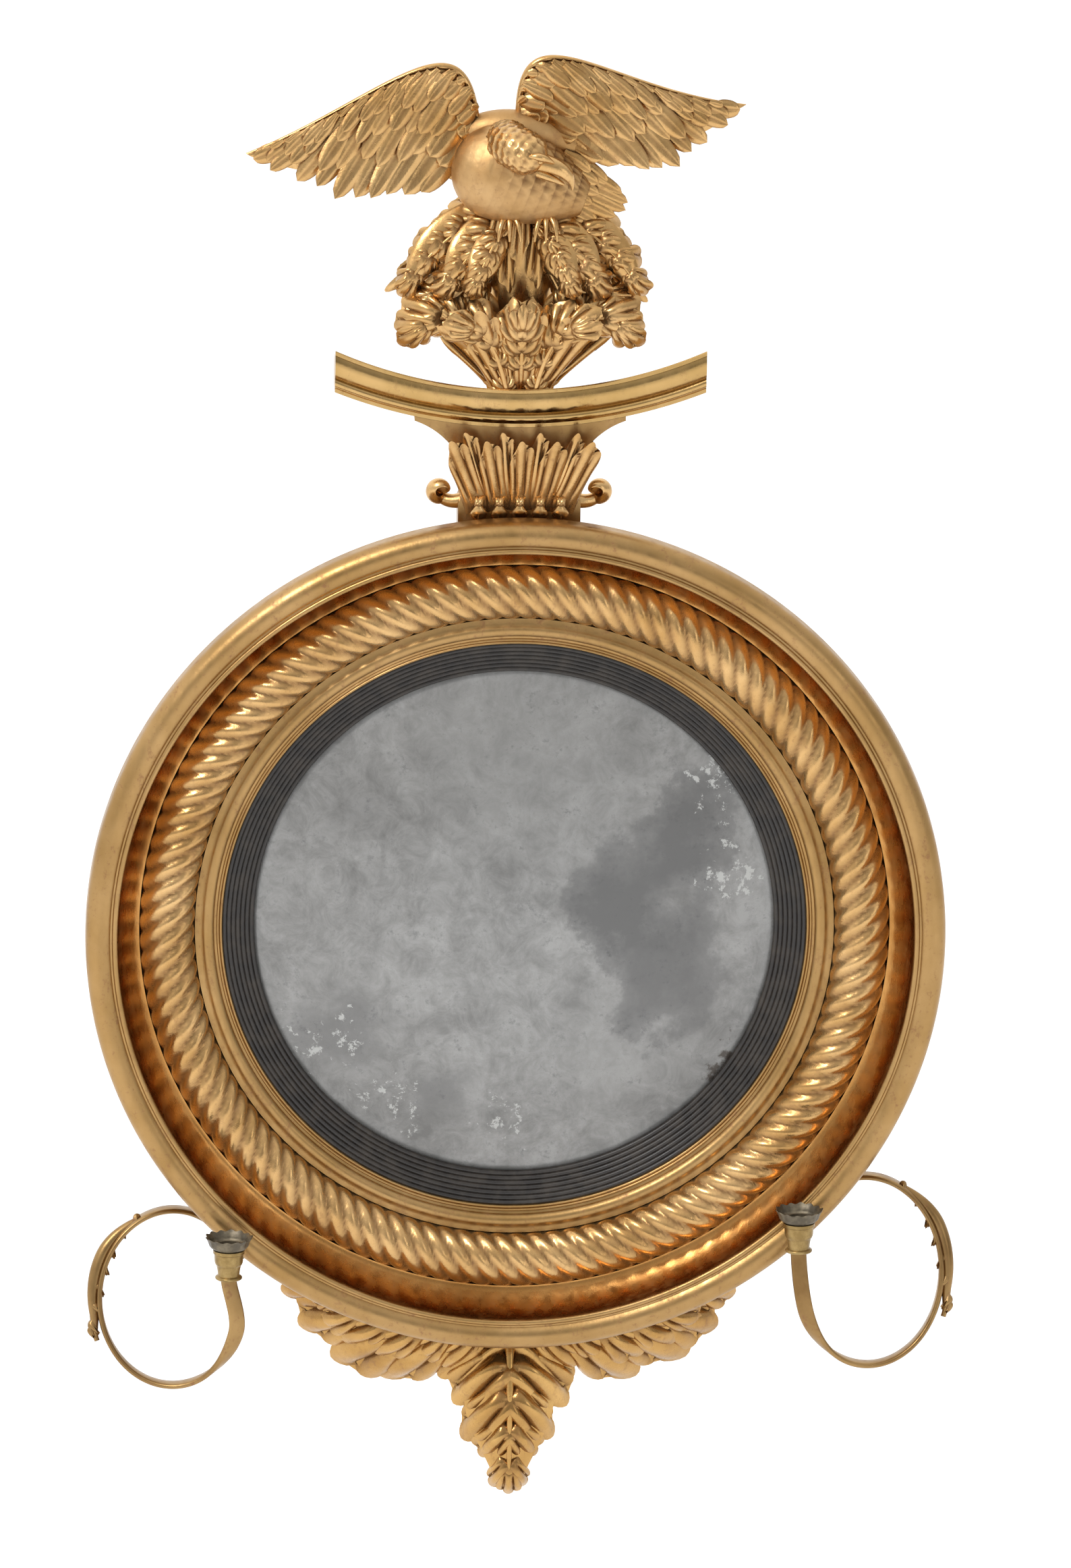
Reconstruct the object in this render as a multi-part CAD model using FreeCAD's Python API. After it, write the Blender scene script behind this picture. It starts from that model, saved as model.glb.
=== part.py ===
"""Convex girandole mirror: a round gilt frame with an eagle crest, a leaf apron and two candle arms.

Millimetres. +Z is up, +X to the viewer's right, and -Y points out of the wall at the viewer.
The origin is on the wall plane at the centre of the round frame. Most sizes below are given as a
radius from that centre and a depth forward of the wall, so depth d lies at y = -d.
"""

import FreeCAD, Part
import math
import os

from FreeCAD import Matrix, Vector

# --- fits -------------------------------------------------------------------------------------
GLUE_LINE = 0.15          # between glued or nested round faces
SEAT_GAP = 0.3            # between loose pieces that rest on each other
RUNNING = 0.05            # radial clearance of a pin in its eye
FIXED = 0.06              # round a screw or shank in its hole

# --- round frame, widths from the glass outwards ----------------------------------------------
SIGHT_RADIUS = 230.0      # visible radius of the glass
SLIP_WIDTH = 28.5
INNER_WIDTH = 24.0
ROPE_WIDTH = 49.5
COVE_WIDTH = 20.0
RIM_WIDTH = 28.0

# --- round frame, depths forward of the wall --------------------------------------------------
FLOOR_DEPTH = 44.0        # front of the carcass, on which rope, cove and rim are glued
SHOULDER_DEPTH = 28.0     # step in the carcass that carries the slip
SLIP_OUTER_DEPTH = 42.0
SLIP_INNER_DEPTH = 31.0
INNER_CREST_DEPTH = 50.0
ROPE_RISE = 26.0          # height of the rope above the floor
COVE_HEIGHT = 40.0        # height of the cove's outer edge above the floor
RIM_PROUD = 6.0           # rim above the cove's edge
RIM_BAND_DEPTH = 66.0     # where the rim's outer band meets the hollow behind it
SLIP_REEDS = 7
REED_RISE = 1.2
ROPE_STRANDS = 112
ROPE_LEAN = 9.0           # degrees round the frame that a strand gains from its inner to its outer end
ROPE_GROOVE = 4.0
ROPE_STEPS = 5            # facets across one strand

# --- glass and back ---------------------------------------------------------------------------
GLASS_THICKNESS = 4.0
GLASS_BULGE = 38.0        # height of the dome over the visible radius
GLASS_LAP = 6.0           # glass hidden behind the slip
CARCASS_BORE_GAP = 2.0
BACKBOARD_THICKNESS = 8.0
BACKBOARD_LAP = 16.0      # board beyond the carcass bore
CARCASS_OUTER_STEP = 4.0  # wall left between the cove and the rim
BLOCK_COUNT = 12
BLOCK_LENGTH = 26.0
BLOCK_WIDTH = 12.0
BOARD_SCREWS = 8

# --- crest ------------------------------------------------------------------------------------
PLATFORM_LIFT = 115.0     # platform's top at the middle, above the top of the rim
PLATFORM_HALF = 163.5
PLATFORM_SAG = 35.0       # ends stand this much above the middle
PLATFORM_HEIGHT = 37.0
PLATFORM_FRONT = 60.0
PLATFORM_FALL = 17.0      # top face falls this much towards the back
CREST_BACK = 14.3         # back plane of the crest pieces, on the strap
BRACKET_TOP_HALF = 93.0
BRACKET_WAIST_HALF = 46.0
BRACKET_WAIST_LIFT = 28.0     # waist above the top of the rim
BRACKET_FRONT = 50.0
BRACKET_RIBS = 5
BRACKET_FOOT_STEP = 8.0       # foot wider than the waist on each side
SCROLL_RADIUS = 13.0
SCROLL_OUT = 70.0
SCROLL_LIFT = 18.0
SCROLL_FRONT = 46.0
CORE_HEIGHT = 150.0
CORE_HALF = 34.0
CORE_FRONT = 48.0

# --- strap and hanging ring ---------------------------------------------------------------------
STRAP_WIDTH = 26.0
STRAP_THICKNESS = 4.0
STRAP_BACK = 10.0         # depth of the strap's back face, at the bottom of its slot
STRAP_LOW = 268.0
STRAP_ABOVE_PLATFORM = 120.0
RING_WIRE = 2.0
RING_RADIUS = 15.0
RING_EYE_LIFT = 52.0      # staple's eye above the top of the rim, behind the bracket
RING_DEPTH = 5.0
RING_PLAY = 0.4           # ring's wire in the staple's eye, radial
STAPLE_WALL = 2.2
STAPLE_WIDTH = 6.0
STAPLE_SHANK = 2.0

# --- eagle ------------------------------------------------------------------------------------
BODY_RADIUS = 42.0
BODY_LENGTH = 118.0
BODY_FLATNESS = 0.74
BODY_DEPTH = 50.0
BODY_TILT = 19.0
EAGLE_LIFT = 203.0        # centre of the breast above the platform
HEAD_RADIUS = 17.0
WING_THICKNESS = 13.0
WING_FEATHERS = 9
TAIL_FEATHERS = 4

# --- apron ------------------------------------------------------------------------------------
APRON_LEAF_DROP = 149.0   # tip of the centre leaf below the rim
APRON_LEAF_HALF = 68.0
APRON_BACK = 6.0
BATTEN_THICKNESS = 14.0
BATTEN_WIDTH = 40.0       # from the carcass outwards
BATTEN_HALF_ANGLE = 29.0
SPRAY_LOBES = 6
SPRAY_DEPTH = 40.0
SPRAY_FROM = 9.0          # degrees round the frame from straight down
SPRAY_TO = 33.0
SPRAY_LEAST = 20.0        # spray's edge beyond the rim at its ends
SPRAY_SWELL = 50.0        # and how much further it reaches in the middle
SPRAY_ROOT = 14.0         # its root, inside the rim's edge

# --- candle arms ------------------------------------------------------------------------------
ARM_STRIP_WIDTH = 16.0
ARM_STRIP_THICKNESS = 4.5
ARM_PIVOT_DEPTH = 24.0
ARM_END_DEPTH = 117.0     # depth of the candle's axis
PIN_RADIUS = 3.0
KNUCKLE_RADIUS = 7.0
KNUCKLE_HEIGHT = 12.0
SHANK_RADIUS = 4.0
SHANK_GRIP = 26.0
LOOP_START = 135.0        # degrees from straight out, upwards
LOOP_END = -165.0
LOOP_HANG = 0.48          # loop's middle below the pivot, as a share of its half height
CUP_HEIGHT = 27.0
CUP_TOP_RADIUS = 14.0
CUP_FOOT_RADIUS = 10.2
CUP_SOCKET_DEPTH = 11.0
CANDLE_RADIUS = 10.0
SPIGOT_WALL = 1.2
PAN_RADIUS = 21.8
PAN_DEPTH = 12.0
PAN_WALL = 1.2
PAN_SCALLOPS = 14

# Each arm was bent by hand: its sign along X, its pivot's place as shares of the rim's radius out and
# down, its loop's middle out from the pivot, half width and half height, and its candle's place out from
# the pivot and its cup's foot above it.
ARMS = {
    "left": {"side": -1, "pivot": (0.632, 0.789), "middle": 64.0, "half": 61.0, "rise": 73.0,
             "candle": 12.0, "foot": -4.2},
    "right": {"side": 1, "pivot": (0.663, 0.716), "middle": 66.5, "half": 62.5, "rise": 79.0,
              "candle": 0.0, "foot": -6.9},
}

# --- radii and heights that follow ---------------------------------------------------------------
SLIP_RADIUS = SIGHT_RADIUS + SLIP_WIDTH
ROPE_INNER = SLIP_RADIUS + INNER_WIDTH
ROPE_OUTER = ROPE_INNER + ROPE_WIDTH
COVE_RADIUS = ROPE_OUTER + COVE_WIDTH
RIM_RADIUS = COVE_RADIUS + RIM_WIDTH
COVE_TOP = FLOOR_DEPTH + COVE_HEIGHT
GLASS_RADIUS = SIGHT_RADIUS + GLASS_LAP
CARCASS_BORE = GLASS_RADIUS + CARCASS_BORE_GAP
BACKBOARD_RADIUS = CARCASS_BORE + BACKBOARD_LAP
PLATFORM_TOP = RIM_RADIUS + PLATFORM_LIFT
PLATFORM_BEND = (PLATFORM_HALF ** 2 + PLATFORM_SAG ** 2) / (2.0 * PLATFORM_SAG)
STRAP_FRONT = STRAP_BACK + STRAP_THICKNESS
RING_EYE_HEIGHT = RIM_RADIUS + RING_EYE_LIFT
BATTEN_RADIUS = COVE_RADIUS + BATTEN_WIDTH
BATTEN_FRONT = APRON_BACK + BATTEN_THICKNESS
FAR = 2.0 * PLATFORM_TOP  # longer than anything here, for cutting shapes
SHAFT = Vector(0, 1, 0)


def at(x, depth, z):
    """Point x to the right, depth forward of the wall, z up."""
    return Vector(x, -depth, z)


# --- builders -----------------------------------------------------------------------------------
def closed_face(start, steps):
    """Face inside an outline of points: a step is a corner, or a pair (via, end) for an arc."""
    here, edges = start, []
    for step in list(steps) + [start]:
        if isinstance(step, tuple):
            edges.append(Part.Arc(here, step[0], step[1]).toShape())
            here = step[1]
        elif here.distanceToPoint(step) > 1e-6:
            edges.append(Part.makeLine(here, step))
            here = step
    return Part.Face(Part.Wire(edges))


def turned(*steps):
    """Ring turned about the frame's axis from (radius, depth) corners and ((via), (end)) arcs."""
    points = [tuple(at(r, d, 0) for r, d in step) if isinstance(step[0], tuple) else at(step[0], step[1], 0)
              for step in steps]
    return closed_face(points[0], points[1:]).revolve(Vector(0, 0, 0), SHAFT, 360)


def reeds(start, end, count, rise):
    """Row of equal round reeds from start to end, as arc steps that stand proud by rise."""
    (r0, d0), (r1, d1) = start, end
    length = math.hypot(r1 - r0, d1 - d0)
    normal = ((d0 - d1) / length * rise, (r1 - r0) / length * rise)
    if normal[1] < 0:
        normal = (-normal[0], -normal[1])
    steps = []
    for i in range(count):
        middle, stop = (i + 0.5) / count, (i + 1.0) / count
        via = (r0 + (r1 - r0) * middle + normal[0], d0 + (d1 - d0) * middle + normal[1])
        steps.append((via, (r0 + (r1 - r0) * stop, d0 + (d1 - d0) * stop)))
    return steps


def lathe(axis_point, outline):
    """Solid turned about a vertical axis from (radius, height) corners above axis_point."""
    points = [axis_point + Vector(r, 0, z) for r, z in outline]
    return closed_face(points[0], points[1:]).revolve(axis_point, Vector(0, 0, 1), 360)


def ruled_solid(sections):
    """Solid with straight rulings between flat polygon sections that have the same corner count."""
    wires = [Part.makePolygon(points + [points[0]]) for points in sections]
    return Part.makeLoft(wires, True, True)


def blade_section(edge_a, edge_b, lift, thickness, edge_share=0.4, crown=0.5):
    """Six-cornered section from edge_a to edge_b: thick at the crown and thinner at both edges."""
    ridge = edge_a + (edge_b - edge_a) * crown
    half = lift * (thickness / 2.0)
    thin = half * edge_share
    return [edge_a + thin, ridge + half, edge_b + thin, edge_b - thin, ridge - half, edge_a - thin]


def bezier(points, t):
    """Point at t on the cubic Bezier curve through four control points."""
    a, b, c, d = points
    s = 1.0 - t
    return a * s ** 3 + b * (3 * s * s * t) + c * (3 * s * t * t) + d * t ** 3


def bezier_slope(points, t):
    """Unit direction of travel at t on the same curve."""
    a, b, c, d = points
    s = 1.0 - t
    slope = (b - a) * (3 * s * s) + (c - b) * (6 * s * t) + (d - c) * (3 * t * t)
    return slope.normalize()


def leaf(spine, half_width, lobes, thickness, facing=Vector(0, -1, 0), base_share=0.35):
    """Acanthus leaf along a Bezier spine: its edge runs out to a tip and back to a notch at each lobe."""
    sections = []
    for i in range(2 * lobes + 2):
        t = i / (2.0 * lobes + 1.0)
        swell = base_share + (1.0 - base_share) * math.sin(math.pi * min(1.0, t + 0.08) ** 0.9)
        reach = half_width * max(0.06, swell if i % 2 else 0.66 * swell)
        if i == 2 * lobes + 1:
            reach = half_width * 0.06
        along = bezier_slope(spine, t)
        across = along.cross(facing).normalize()
        lift = across.cross(along).normalize()
        here = bezier(spine, t)
        body = thickness * (1.0 - 0.6 * t)
        sections.append(blade_section(here - across * reach, here + across * reach, lift, body))
    return ruled_solid(sections)


def less(shape, *others):
    """Shape with the others cut away, as one solid."""
    for other in others:
        shape = shape.cut(other)
    return max(shape.Solids, key=lambda solid: solid.Volume)


def joined(shapes):
    """One solid fused from several."""
    return shapes[0].multiFuse(shapes[1:]).removeSplitter()


# --- round frame --------------------------------------------------------------------------------
def carcass_blank():
    """Softwood ring with its step for the slip and its rebate for the backboard."""
    step_radius = SLIP_RADIUS + INNER_WIDTH / 2.0
    outer = COVE_RADIUS
    board = BACKBOARD_RADIUS + GLUE_LINE
    return turned((CARCASS_BORE, BACKBOARD_THICKNESS), (CARCASS_BORE, SHOULDER_DEPTH),
                  (step_radius, SHOULDER_DEPTH), (step_radius, FLOOR_DEPTH), (outer, FLOOR_DEPTH),
                  (outer, 0), (board, 0), (board, BACKBOARD_THICKNESS))


def strap_slot():
    """Slot in the back of the carcass for the strap."""
    half = STRAP_WIDTH / 2.0 + SEAT_GAP
    depth = STRAP_FRONT + GLUE_LINE
    low = STRAP_LOW - SEAT_GAP
    return Part.makeBox(2 * half, depth, COVE_RADIUS + 20.0 - low, at(-half, depth, low))


def arm_pivot(arm):
    """Point on an arm's pivot axis where its two knuckles meet."""
    out, down = arm["pivot"]
    return at(arm["side"] * out * RIM_RADIUS, ARM_PIVOT_DEPTH, -down * RIM_RADIUS)


def cup_foot(arm):
    """Point on the candle's axis where the cup stands on the arm's end."""
    return arm_pivot(arm) + at(arm["side"] * arm["candle"], ARM_END_DEPTH - ARM_PIVOT_DEPTH, arm["foot"])


def shank(arm, clearance=0.0):
    """Level iron bar from inside the carcass out to the lower knuckle's middle."""
    eye = arm_pivot(arm) - Vector(0, 0, KNUCKLE_HEIGHT / 2.0)
    edge = math.sqrt(COVE_RADIUS ** 2 - eye.z ** 2)
    reach = abs(eye.x) - edge + SHANK_GRIP + clearance
    return Part.makeCylinder(SHANK_RADIUS + clearance, reach, eye, Vector(-arm["side"], 0, 0))


def carcass_ring():
    drilled = [shank(arm, FIXED) for arm in ARMS.values()]
    drilled += [board_screw(place, FIXED) for place in board_screw_places()]
    drilled += [strap_screw(place, FIXED) for place in strap_screw_places()[:2]]
    drilled += [apron_screw(angle, FIXED) for angle in apron_screw_angles()]
    return less(carcass_blank(), strap_slot(), *drilled)


def cove_ring():
    """Deep hollow channel wall between the rope and the rim."""
    inner = ROPE_OUTER + GLUE_LINE
    outer = COVE_RADIUS + CARCASS_OUTER_STEP - GLUE_LINE
    foot = 3.0
    hollow_via = (COVE_RADIUS - 3.6, FLOOR_DEPTH + 0.40 * COVE_HEIGHT)
    return turned((inner, FLOOR_DEPTH), (outer, FLOOR_DEPTH), (outer, COVE_TOP), (COVE_RADIUS, COVE_TOP),
                  (hollow_via, (inner + 2.0, FLOOR_DEPTH + foot)), (inner, FLOOR_DEPTH + foot))


def rim_outline():
    """Corners of the rim's section from its inner lip over the crest and down its outer side."""
    lip = COVE_TOP + 0.5 * RIM_PROUD
    bead = (COVE_RADIUS + 6.0, lip - 1.0)
    crest = (RIM_RADIUS - 0.43 * RIM_WIDTH, COVE_TOP + RIM_PROUD)
    side_top = (RIM_RADIUS, RIM_BAND_DEPTH + 0.55 * (COVE_TOP - RIM_BAND_DEPTH))
    neck = (COVE_RADIUS + 2.0 * CARCASS_OUTER_STEP, FLOOR_DEPTH)
    hollow_via = (RIM_RADIUS - 0.52 * RIM_WIDTH, 0.45 * FLOOR_DEPTH + 0.55 * RIM_BAND_DEPTH)
    return [(COVE_RADIUS, lip), (COVE_RADIUS + 5.0, lip), bead, (crest, side_top),
            (RIM_RADIUS, RIM_BAND_DEPTH), (RIM_RADIUS - 2.5, RIM_BAND_DEPTH - 2.0), (hollow_via, neck)]


def rim_moulding():
    seat = COVE_RADIUS + CARCASS_OUTER_STEP
    return turned((COVE_RADIUS, COVE_TOP), *rim_outline(), (seat, FLOOR_DEPTH), (seat, COVE_TOP))


def ring_envelope(clearance):
    """Whole outer form of the round frame, a little larger, for seating pieces on it."""
    outer = COVE_RADIUS + clearance
    neck = COVE_RADIUS + 2.0 * CARCASS_OUTER_STEP + clearance
    rim = RIM_RADIUS + clearance
    front = COVE_TOP + RIM_PROUD
    return turned((0, -1), (outer, -1), (outer, FLOOR_DEPTH - clearance), (neck, FLOOR_DEPTH - clearance),
                  (rim, RIM_BAND_DEPTH - 2.0), (rim, front), (0, front))


def rope_point(strand, across):
    """Point on the rope: strand counts round the frame, across runs 0 to 1 from inner to outer foot."""
    inner, outer = ROPE_INNER + GLUE_LINE, ROPE_OUTER - GLUE_LINE
    middle, half = (inner + outer) / 2.0, (outer - inner) / 2.0
    swell = math.pi * across
    groove = ROPE_GROOVE if strand % 1.0 == 0.0 else 0.0
    radius = middle - (half - groove * math.sin(swell)) * math.cos(swell)
    depth = FLOOR_DEPTH + (ROPE_RISE - groove) * math.sin(swell)
    angle = math.radians(360.0 * strand / ROPE_STRANDS - ROPE_LEAN * (across - 0.5))
    return at(radius * math.sin(angle), max(depth, FLOOR_DEPTH), radius * math.cos(angle))


def rope_moulding():
    """Half-round ring carved as a rope: flat facets between a groove and two shoulders per strand."""
    shoulders = (0.0, 0.34, 0.74)
    around = [strand + share for strand in range(ROPE_STRANDS) for share in shoulders]
    rows = [[rope_point(place, i / float(ROPE_STEPS)) for place in around] for i in range(ROPE_STEPS + 1)]
    facets = []
    for low, high in zip(rows, rows[1:]):
        for i in range(len(around)):
            near, far = i - 1, i
            for corners in ((low[near], low[far], high[far]), (low[near], high[far], high[near])):
                facets.append(Part.Face(Part.makePolygon(list(corners) + [corners[0]])))
    edges = [Part.makePolygon(row + [row[0]]) for row in (rows[-1], rows[0])]
    floor = Part.makeFace(edges, "Part::FaceMakerBullseye")
    shell = Part.makeShell(facets + [floor])
    shell.sewShape(0.001)
    return Part.makeSolid(shell)


def inner_moulding():
    """Narrow gilt ring with fine lines, lapping from the slip's step onto the floor."""
    step_radius = SLIP_RADIUS + INNER_WIDTH / 2.0
    slip_side = SLIP_RADIUS + GLUE_LINE
    lap = step_radius - GLUE_LINE
    start = SLIP_OUTER_DEPTH + 1.5
    bead_end = (SLIP_RADIUS + 0.22 * INNER_WIDTH, start + 1.0)
    crest_start = (SLIP_RADIUS + 0.30 * INNER_WIDTH, start + 1.6)
    crest_end = (SLIP_RADIUS + 0.74 * INNER_WIDTH, INNER_CREST_DEPTH - 2.0)
    crest_via = (SLIP_RADIUS + 0.56 * INNER_WIDTH, INNER_CREST_DEPTH)
    outer_line = (SLIP_RADIUS + 0.84 * INNER_WIDTH, FLOOR_DEPTH + 3.4)
    return turned((slip_side, SHOULDER_DEPTH), (lap, SHOULDER_DEPTH), (lap, FLOOR_DEPTH),
                  (ROPE_INNER, FLOOR_DEPTH), (ROPE_INNER, FLOOR_DEPTH + 3.0), outer_line, crest_end,
                  (crest_via, crest_start), ((bead_end[0] - 0.5, start + 2.6), bead_end),
                  *reeds(bead_end, (slip_side, start), 2, 0.9))


def ebonised_slip():
    """Black ring with fine reeds that slopes back to the glass and holds it from the front."""
    inner_face = SHOULDER_DEPTH + SEAT_GAP
    outer = (SLIP_RADIUS - GLUE_LINE, SLIP_OUTER_DEPTH)
    inner = (SIGHT_RADIUS, SLIP_INNER_DEPTH)
    return turned((SIGHT_RADIUS, inner_face), (CARCASS_BORE, inner_face), (CARCASS_BORE, SHOULDER_DEPTH),
                  (outer[0], SHOULDER_DEPTH), outer, *reeds(outer, inner, SLIP_REEDS, REED_RISE))


def glass_sphere_radius():
    return (SIGHT_RADIUS ** 2 + GLASS_BULGE ** 2) / (2.0 * GLASS_BULGE)


def glass_depth(radius, inset=0.0):
    """Depth of the dome's front at a radius, or of a surface inset behind it."""
    sphere = glass_sphere_radius()
    centre = SHOULDER_DEPTH - math.sqrt(sphere ** 2 - SIGHT_RADIUS ** 2)
    return centre + math.sqrt((sphere - inset) ** 2 - radius ** 2)


def mirror_plate():
    """Blown convex glass, silvered behind."""
    half = GLASS_RADIUS / 2.0
    front = [(0, glass_depth(0)), (half, glass_depth(half)), (GLASS_RADIUS, glass_depth(GLASS_RADIUS))]
    back = [(r, glass_depth(r, GLASS_THICKNESS)) for r, _ in front]
    return turned(front[0], (front[1], front[2]), back[2], (back[1], back[0]))


def glass_blocks():
    """Softwood blocks glued round the bore behind the glass edge."""
    top = glass_depth(GLASS_RADIUS, GLASS_THICKNESS) - SEAT_GAP
    low = BACKBOARD_THICKNESS
    block = Part.makeBox(BLOCK_LENGTH, top - low, BLOCK_WIDTH,
                         at(-BLOCK_LENGTH / 2.0, top, CARCASS_BORE - BLOCK_WIDTH - 1.0))
    block = block.common(Part.makeCylinder(CARCASS_BORE - GLUE_LINE, top + 1.0, at(0, top + 1.0, 0), SHAFT))
    copies = []
    for i in range(BLOCK_COUNT):
        copy = block.copy()
        copy.rotate(Vector(0, 0, 0), SHAFT, 360.0 * (i + 0.5) / BLOCK_COUNT)
        copies.append(copy)
    return Part.makeCompound(copies)


def board_screw_places():
    """Centres of the backboard's screws on the rebate."""
    radius = (CARCASS_BORE + BACKBOARD_RADIUS) / 2.0
    turns = [2.0 * math.pi * (i + 0.5) / BOARD_SCREWS for i in range(BOARD_SCREWS)]
    return [(radius * math.sin(turn), radius * math.cos(turn)) for turn in turns]


def screw(place, seat_depth, grip, head_radius, shank_radius, clearance=0.0):
    """Countersunk screw driven forwards, or the hole it needs when a clearance is given."""
    x, z = place
    head = head_radius + clearance
    shank = shank_radius + clearance
    cone = head_radius - shank_radius
    mouth = -SEAT_GAP if clearance else 0.0
    tip = grip + clearance
    outline = [(0, mouth), (head, mouth), (head, clearance), (shank, cone + clearance), (shank, tip), (0, tip)]
    points = [at(x + r, seat_depth + d, z) for r, d in outline]
    return closed_face(points[0], points[1:]).revolve(at(x, seat_depth, z), SHAFT, 360)


def board_screw(place, clearance=0.0):
    return screw(place, SEAT_GAP, 16.0, 3.6, 1.6, clearance)


def backboard():
    """Thin board that closes the back, flush with the wall plane."""
    board = Part.makeCylinder(BACKBOARD_RADIUS, BACKBOARD_THICKNESS, at(0, BACKBOARD_THICKNESS, 0), SHAFT)
    return less(board, *[board_screw(place, FIXED) for place in board_screw_places()])


def backboard_screws():
    return Part.makeCompound([board_screw(place) for place in board_screw_places()])


# --- crest: strap, platform and bracket ---------------------------------------------------------
def strap_screw_places():
    """Two screws in the carcass, one in the bracket and two in the foliage core."""
    heights = [STRAP_LOW + 12.0, COVE_RADIUS - 22.0, RING_EYE_HEIGHT - 1.1 * RING_RADIUS,
               PLATFORM_TOP + 40.0, PLATFORM_TOP + 95.0]
    return [(0, height) for height in heights]


def strap_screw(place, clearance=0.0):
    return screw(place, STRAP_BACK + SEAT_GAP, 20.0, 3.4, 1.5, clearance)


def staple_shank(clearance=0.0):
    """Shank of the staple through the strap, riveted flush with its front, or the hole it needs."""
    return Part.makeCylinder(STAPLE_SHANK + clearance, STRAP_THICKNESS + clearance,
                             at(0, STRAP_FRONT + clearance, RING_EYE_HEIGHT), SHAFT)


def ring_staple():
    """Staple behind the strap that the hanging ring passes through."""
    bore = RING_WIRE + RING_PLAY
    outer = bore + STAPLE_WALL
    side = Vector(STAPLE_WIDTH / 2.0, 0, 0)
    centre = at(0, RING_DEPTH, RING_EYE_HEIGHT)
    tube = Part.makeCylinder(outer, STAPLE_WIDTH, centre - side, side)
    leg = Part.makeBox(STAPLE_WIDTH, STRAP_BACK - RING_DEPTH, 2 * outer,
                       at(0, STRAP_BACK, RING_EYE_HEIGHT - outer) - side)
    hole = Part.makeCylinder(bore, 2 * STAPLE_WIDTH, centre - side * 2, side)
    return less(joined([tube, leg, staple_shank()]), hole)


def crest_strap():
    """Iron strap that ties bracket, platform and foliage to the carcass and carries the staple."""
    top = PLATFORM_TOP + STRAP_ABOVE_PLATFORM
    bar = Part.makeBox(STRAP_WIDTH, STRAP_THICKNESS, top - STRAP_LOW,
                       at(-STRAP_WIDTH / 2.0, STRAP_FRONT, STRAP_LOW))
    return less(bar, staple_shank(FIXED), *[strap_screw(place, FIXED) for place in strap_screw_places()])


def hanging_ring():
    """Wire ring that hangs in the staple and drops over the wall hook."""
    return Part.makeTorus(RING_RADIUS, RING_WIRE, at(0, RING_DEPTH, RING_EYE_HEIGHT - RING_RADIUS), SHAFT)


def platform_sector(inner, outer, front, back):
    """Plain band of the platform's curve between two radii below its bend centre."""
    centre = at(0, 0, PLATFORM_TOP + PLATFORM_BEND)
    points = [at(0, front, centre.z - inner), at(0, front, centre.z - outer),
              at(0, back, centre.z - outer), at(0, back, centre.z - inner)]
    return swung(closed_face(points[0], points[1:]))


def swung(face):
    """Face at the platform's middle swung both ways about its bend centre."""
    centre = at(0, 0, PLATFORM_TOP + PLATFORM_BEND)
    swing = math.degrees(math.asin(PLATFORM_HALF / (PLATFORM_BEND - PLATFORM_HEIGHT))) + 3.0
    start = face.copy()
    start.rotate(centre, SHAFT, -swing)
    return start.revolve(centre, SHAFT, 2 * swing)


def platform():
    """Moulded shelf, bent upwards to both ends, with upright cut ends."""
    z = PLATFORM_TOP
    front, back, low = PLATFORM_FRONT, CREST_BACK, PLATFORM_TOP - PLATFORM_HEIGHT
    fillet = 4.5
    bead = 3.2
    steps = [at(0, front, z - fillet), at(0, front - 2.0, z - fillet),
             (at(0, front - 3.5, z - 0.45 * PLATFORM_HEIGHT), at(0, front - 9.0, low + 2 * bead + 2.5)),
             at(0, front - 7.5, low + 2 * bead + 2.0),
             (at(0, front - 6.0, low + 1.5 * bead), at(0, front - 7.5, low + bead)),
             at(0, front - 10.0, low + bead), at(0, front - 10.0, low), at(0, back, low),
             at(0, back, z - PLATFORM_FALL)]
    band = swung(closed_face(at(0, front, z), steps))
    keep = Part.makeBox(2 * PLATFORM_HALF, front + 10.0, 400.0, at(-PLATFORM_HALF, front + 5.0, low - 50.0))
    return band.common(keep).Solids[0]


def platform_zone(clearance):
    """Space taken by the platform and everything above it."""
    return platform_sector(PLATFORM_BEND - 140.0, PLATFORM_BEND + PLATFORM_HEIGHT + clearance,
                           PLATFORM_FRONT + 20.0, 0.0)


def platform_bracket():
    """Flared block that carries the platform, cut to sit over the round frame."""
    low, waist = RIM_RADIUS - 60.0, RIM_RADIUS + BRACKET_WAIST_LIFT
    flare_end = PLATFORM_TOP - PLATFORM_HEIGHT + 6.0
    foot = BRACKET_WAIST_HALF + BRACKET_FOOT_STEP
    via = at(BRACKET_WAIST_HALF + 9.0, 0, waist + 0.34 * (flare_end - waist) + 6.0)
    right = [at(foot, 0, low), at(foot, 0, waist - 20.0), at(BRACKET_WAIST_HALF, 0, waist),
             (via, at(BRACKET_TOP_HALF, 0, flare_end)), at(BRACKET_TOP_HALF, 0, PLATFORM_TOP)]
    left = [at(-BRACKET_TOP_HALF, 0, PLATFORM_TOP), at(-BRACKET_TOP_HALF, 0, flare_end),
            (at(-via.x, 0, via.z), at(-BRACKET_WAIST_HALF, 0, waist)), at(-foot, 0, waist - 20.0),
            at(-foot, 0, low)]
    block = closed_face(right[0], right[1:] + left).extrude(at(0, BRACKET_FRONT - CREST_BACK, 0))
    block.translate(at(0, CREST_BACK, 0))
    screws = [strap_screw(place, FIXED) for place in strap_screw_places()]
    return less(block, ring_envelope(GLUE_LINE), platform_zone(GLUE_LINE), *screws)


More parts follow.
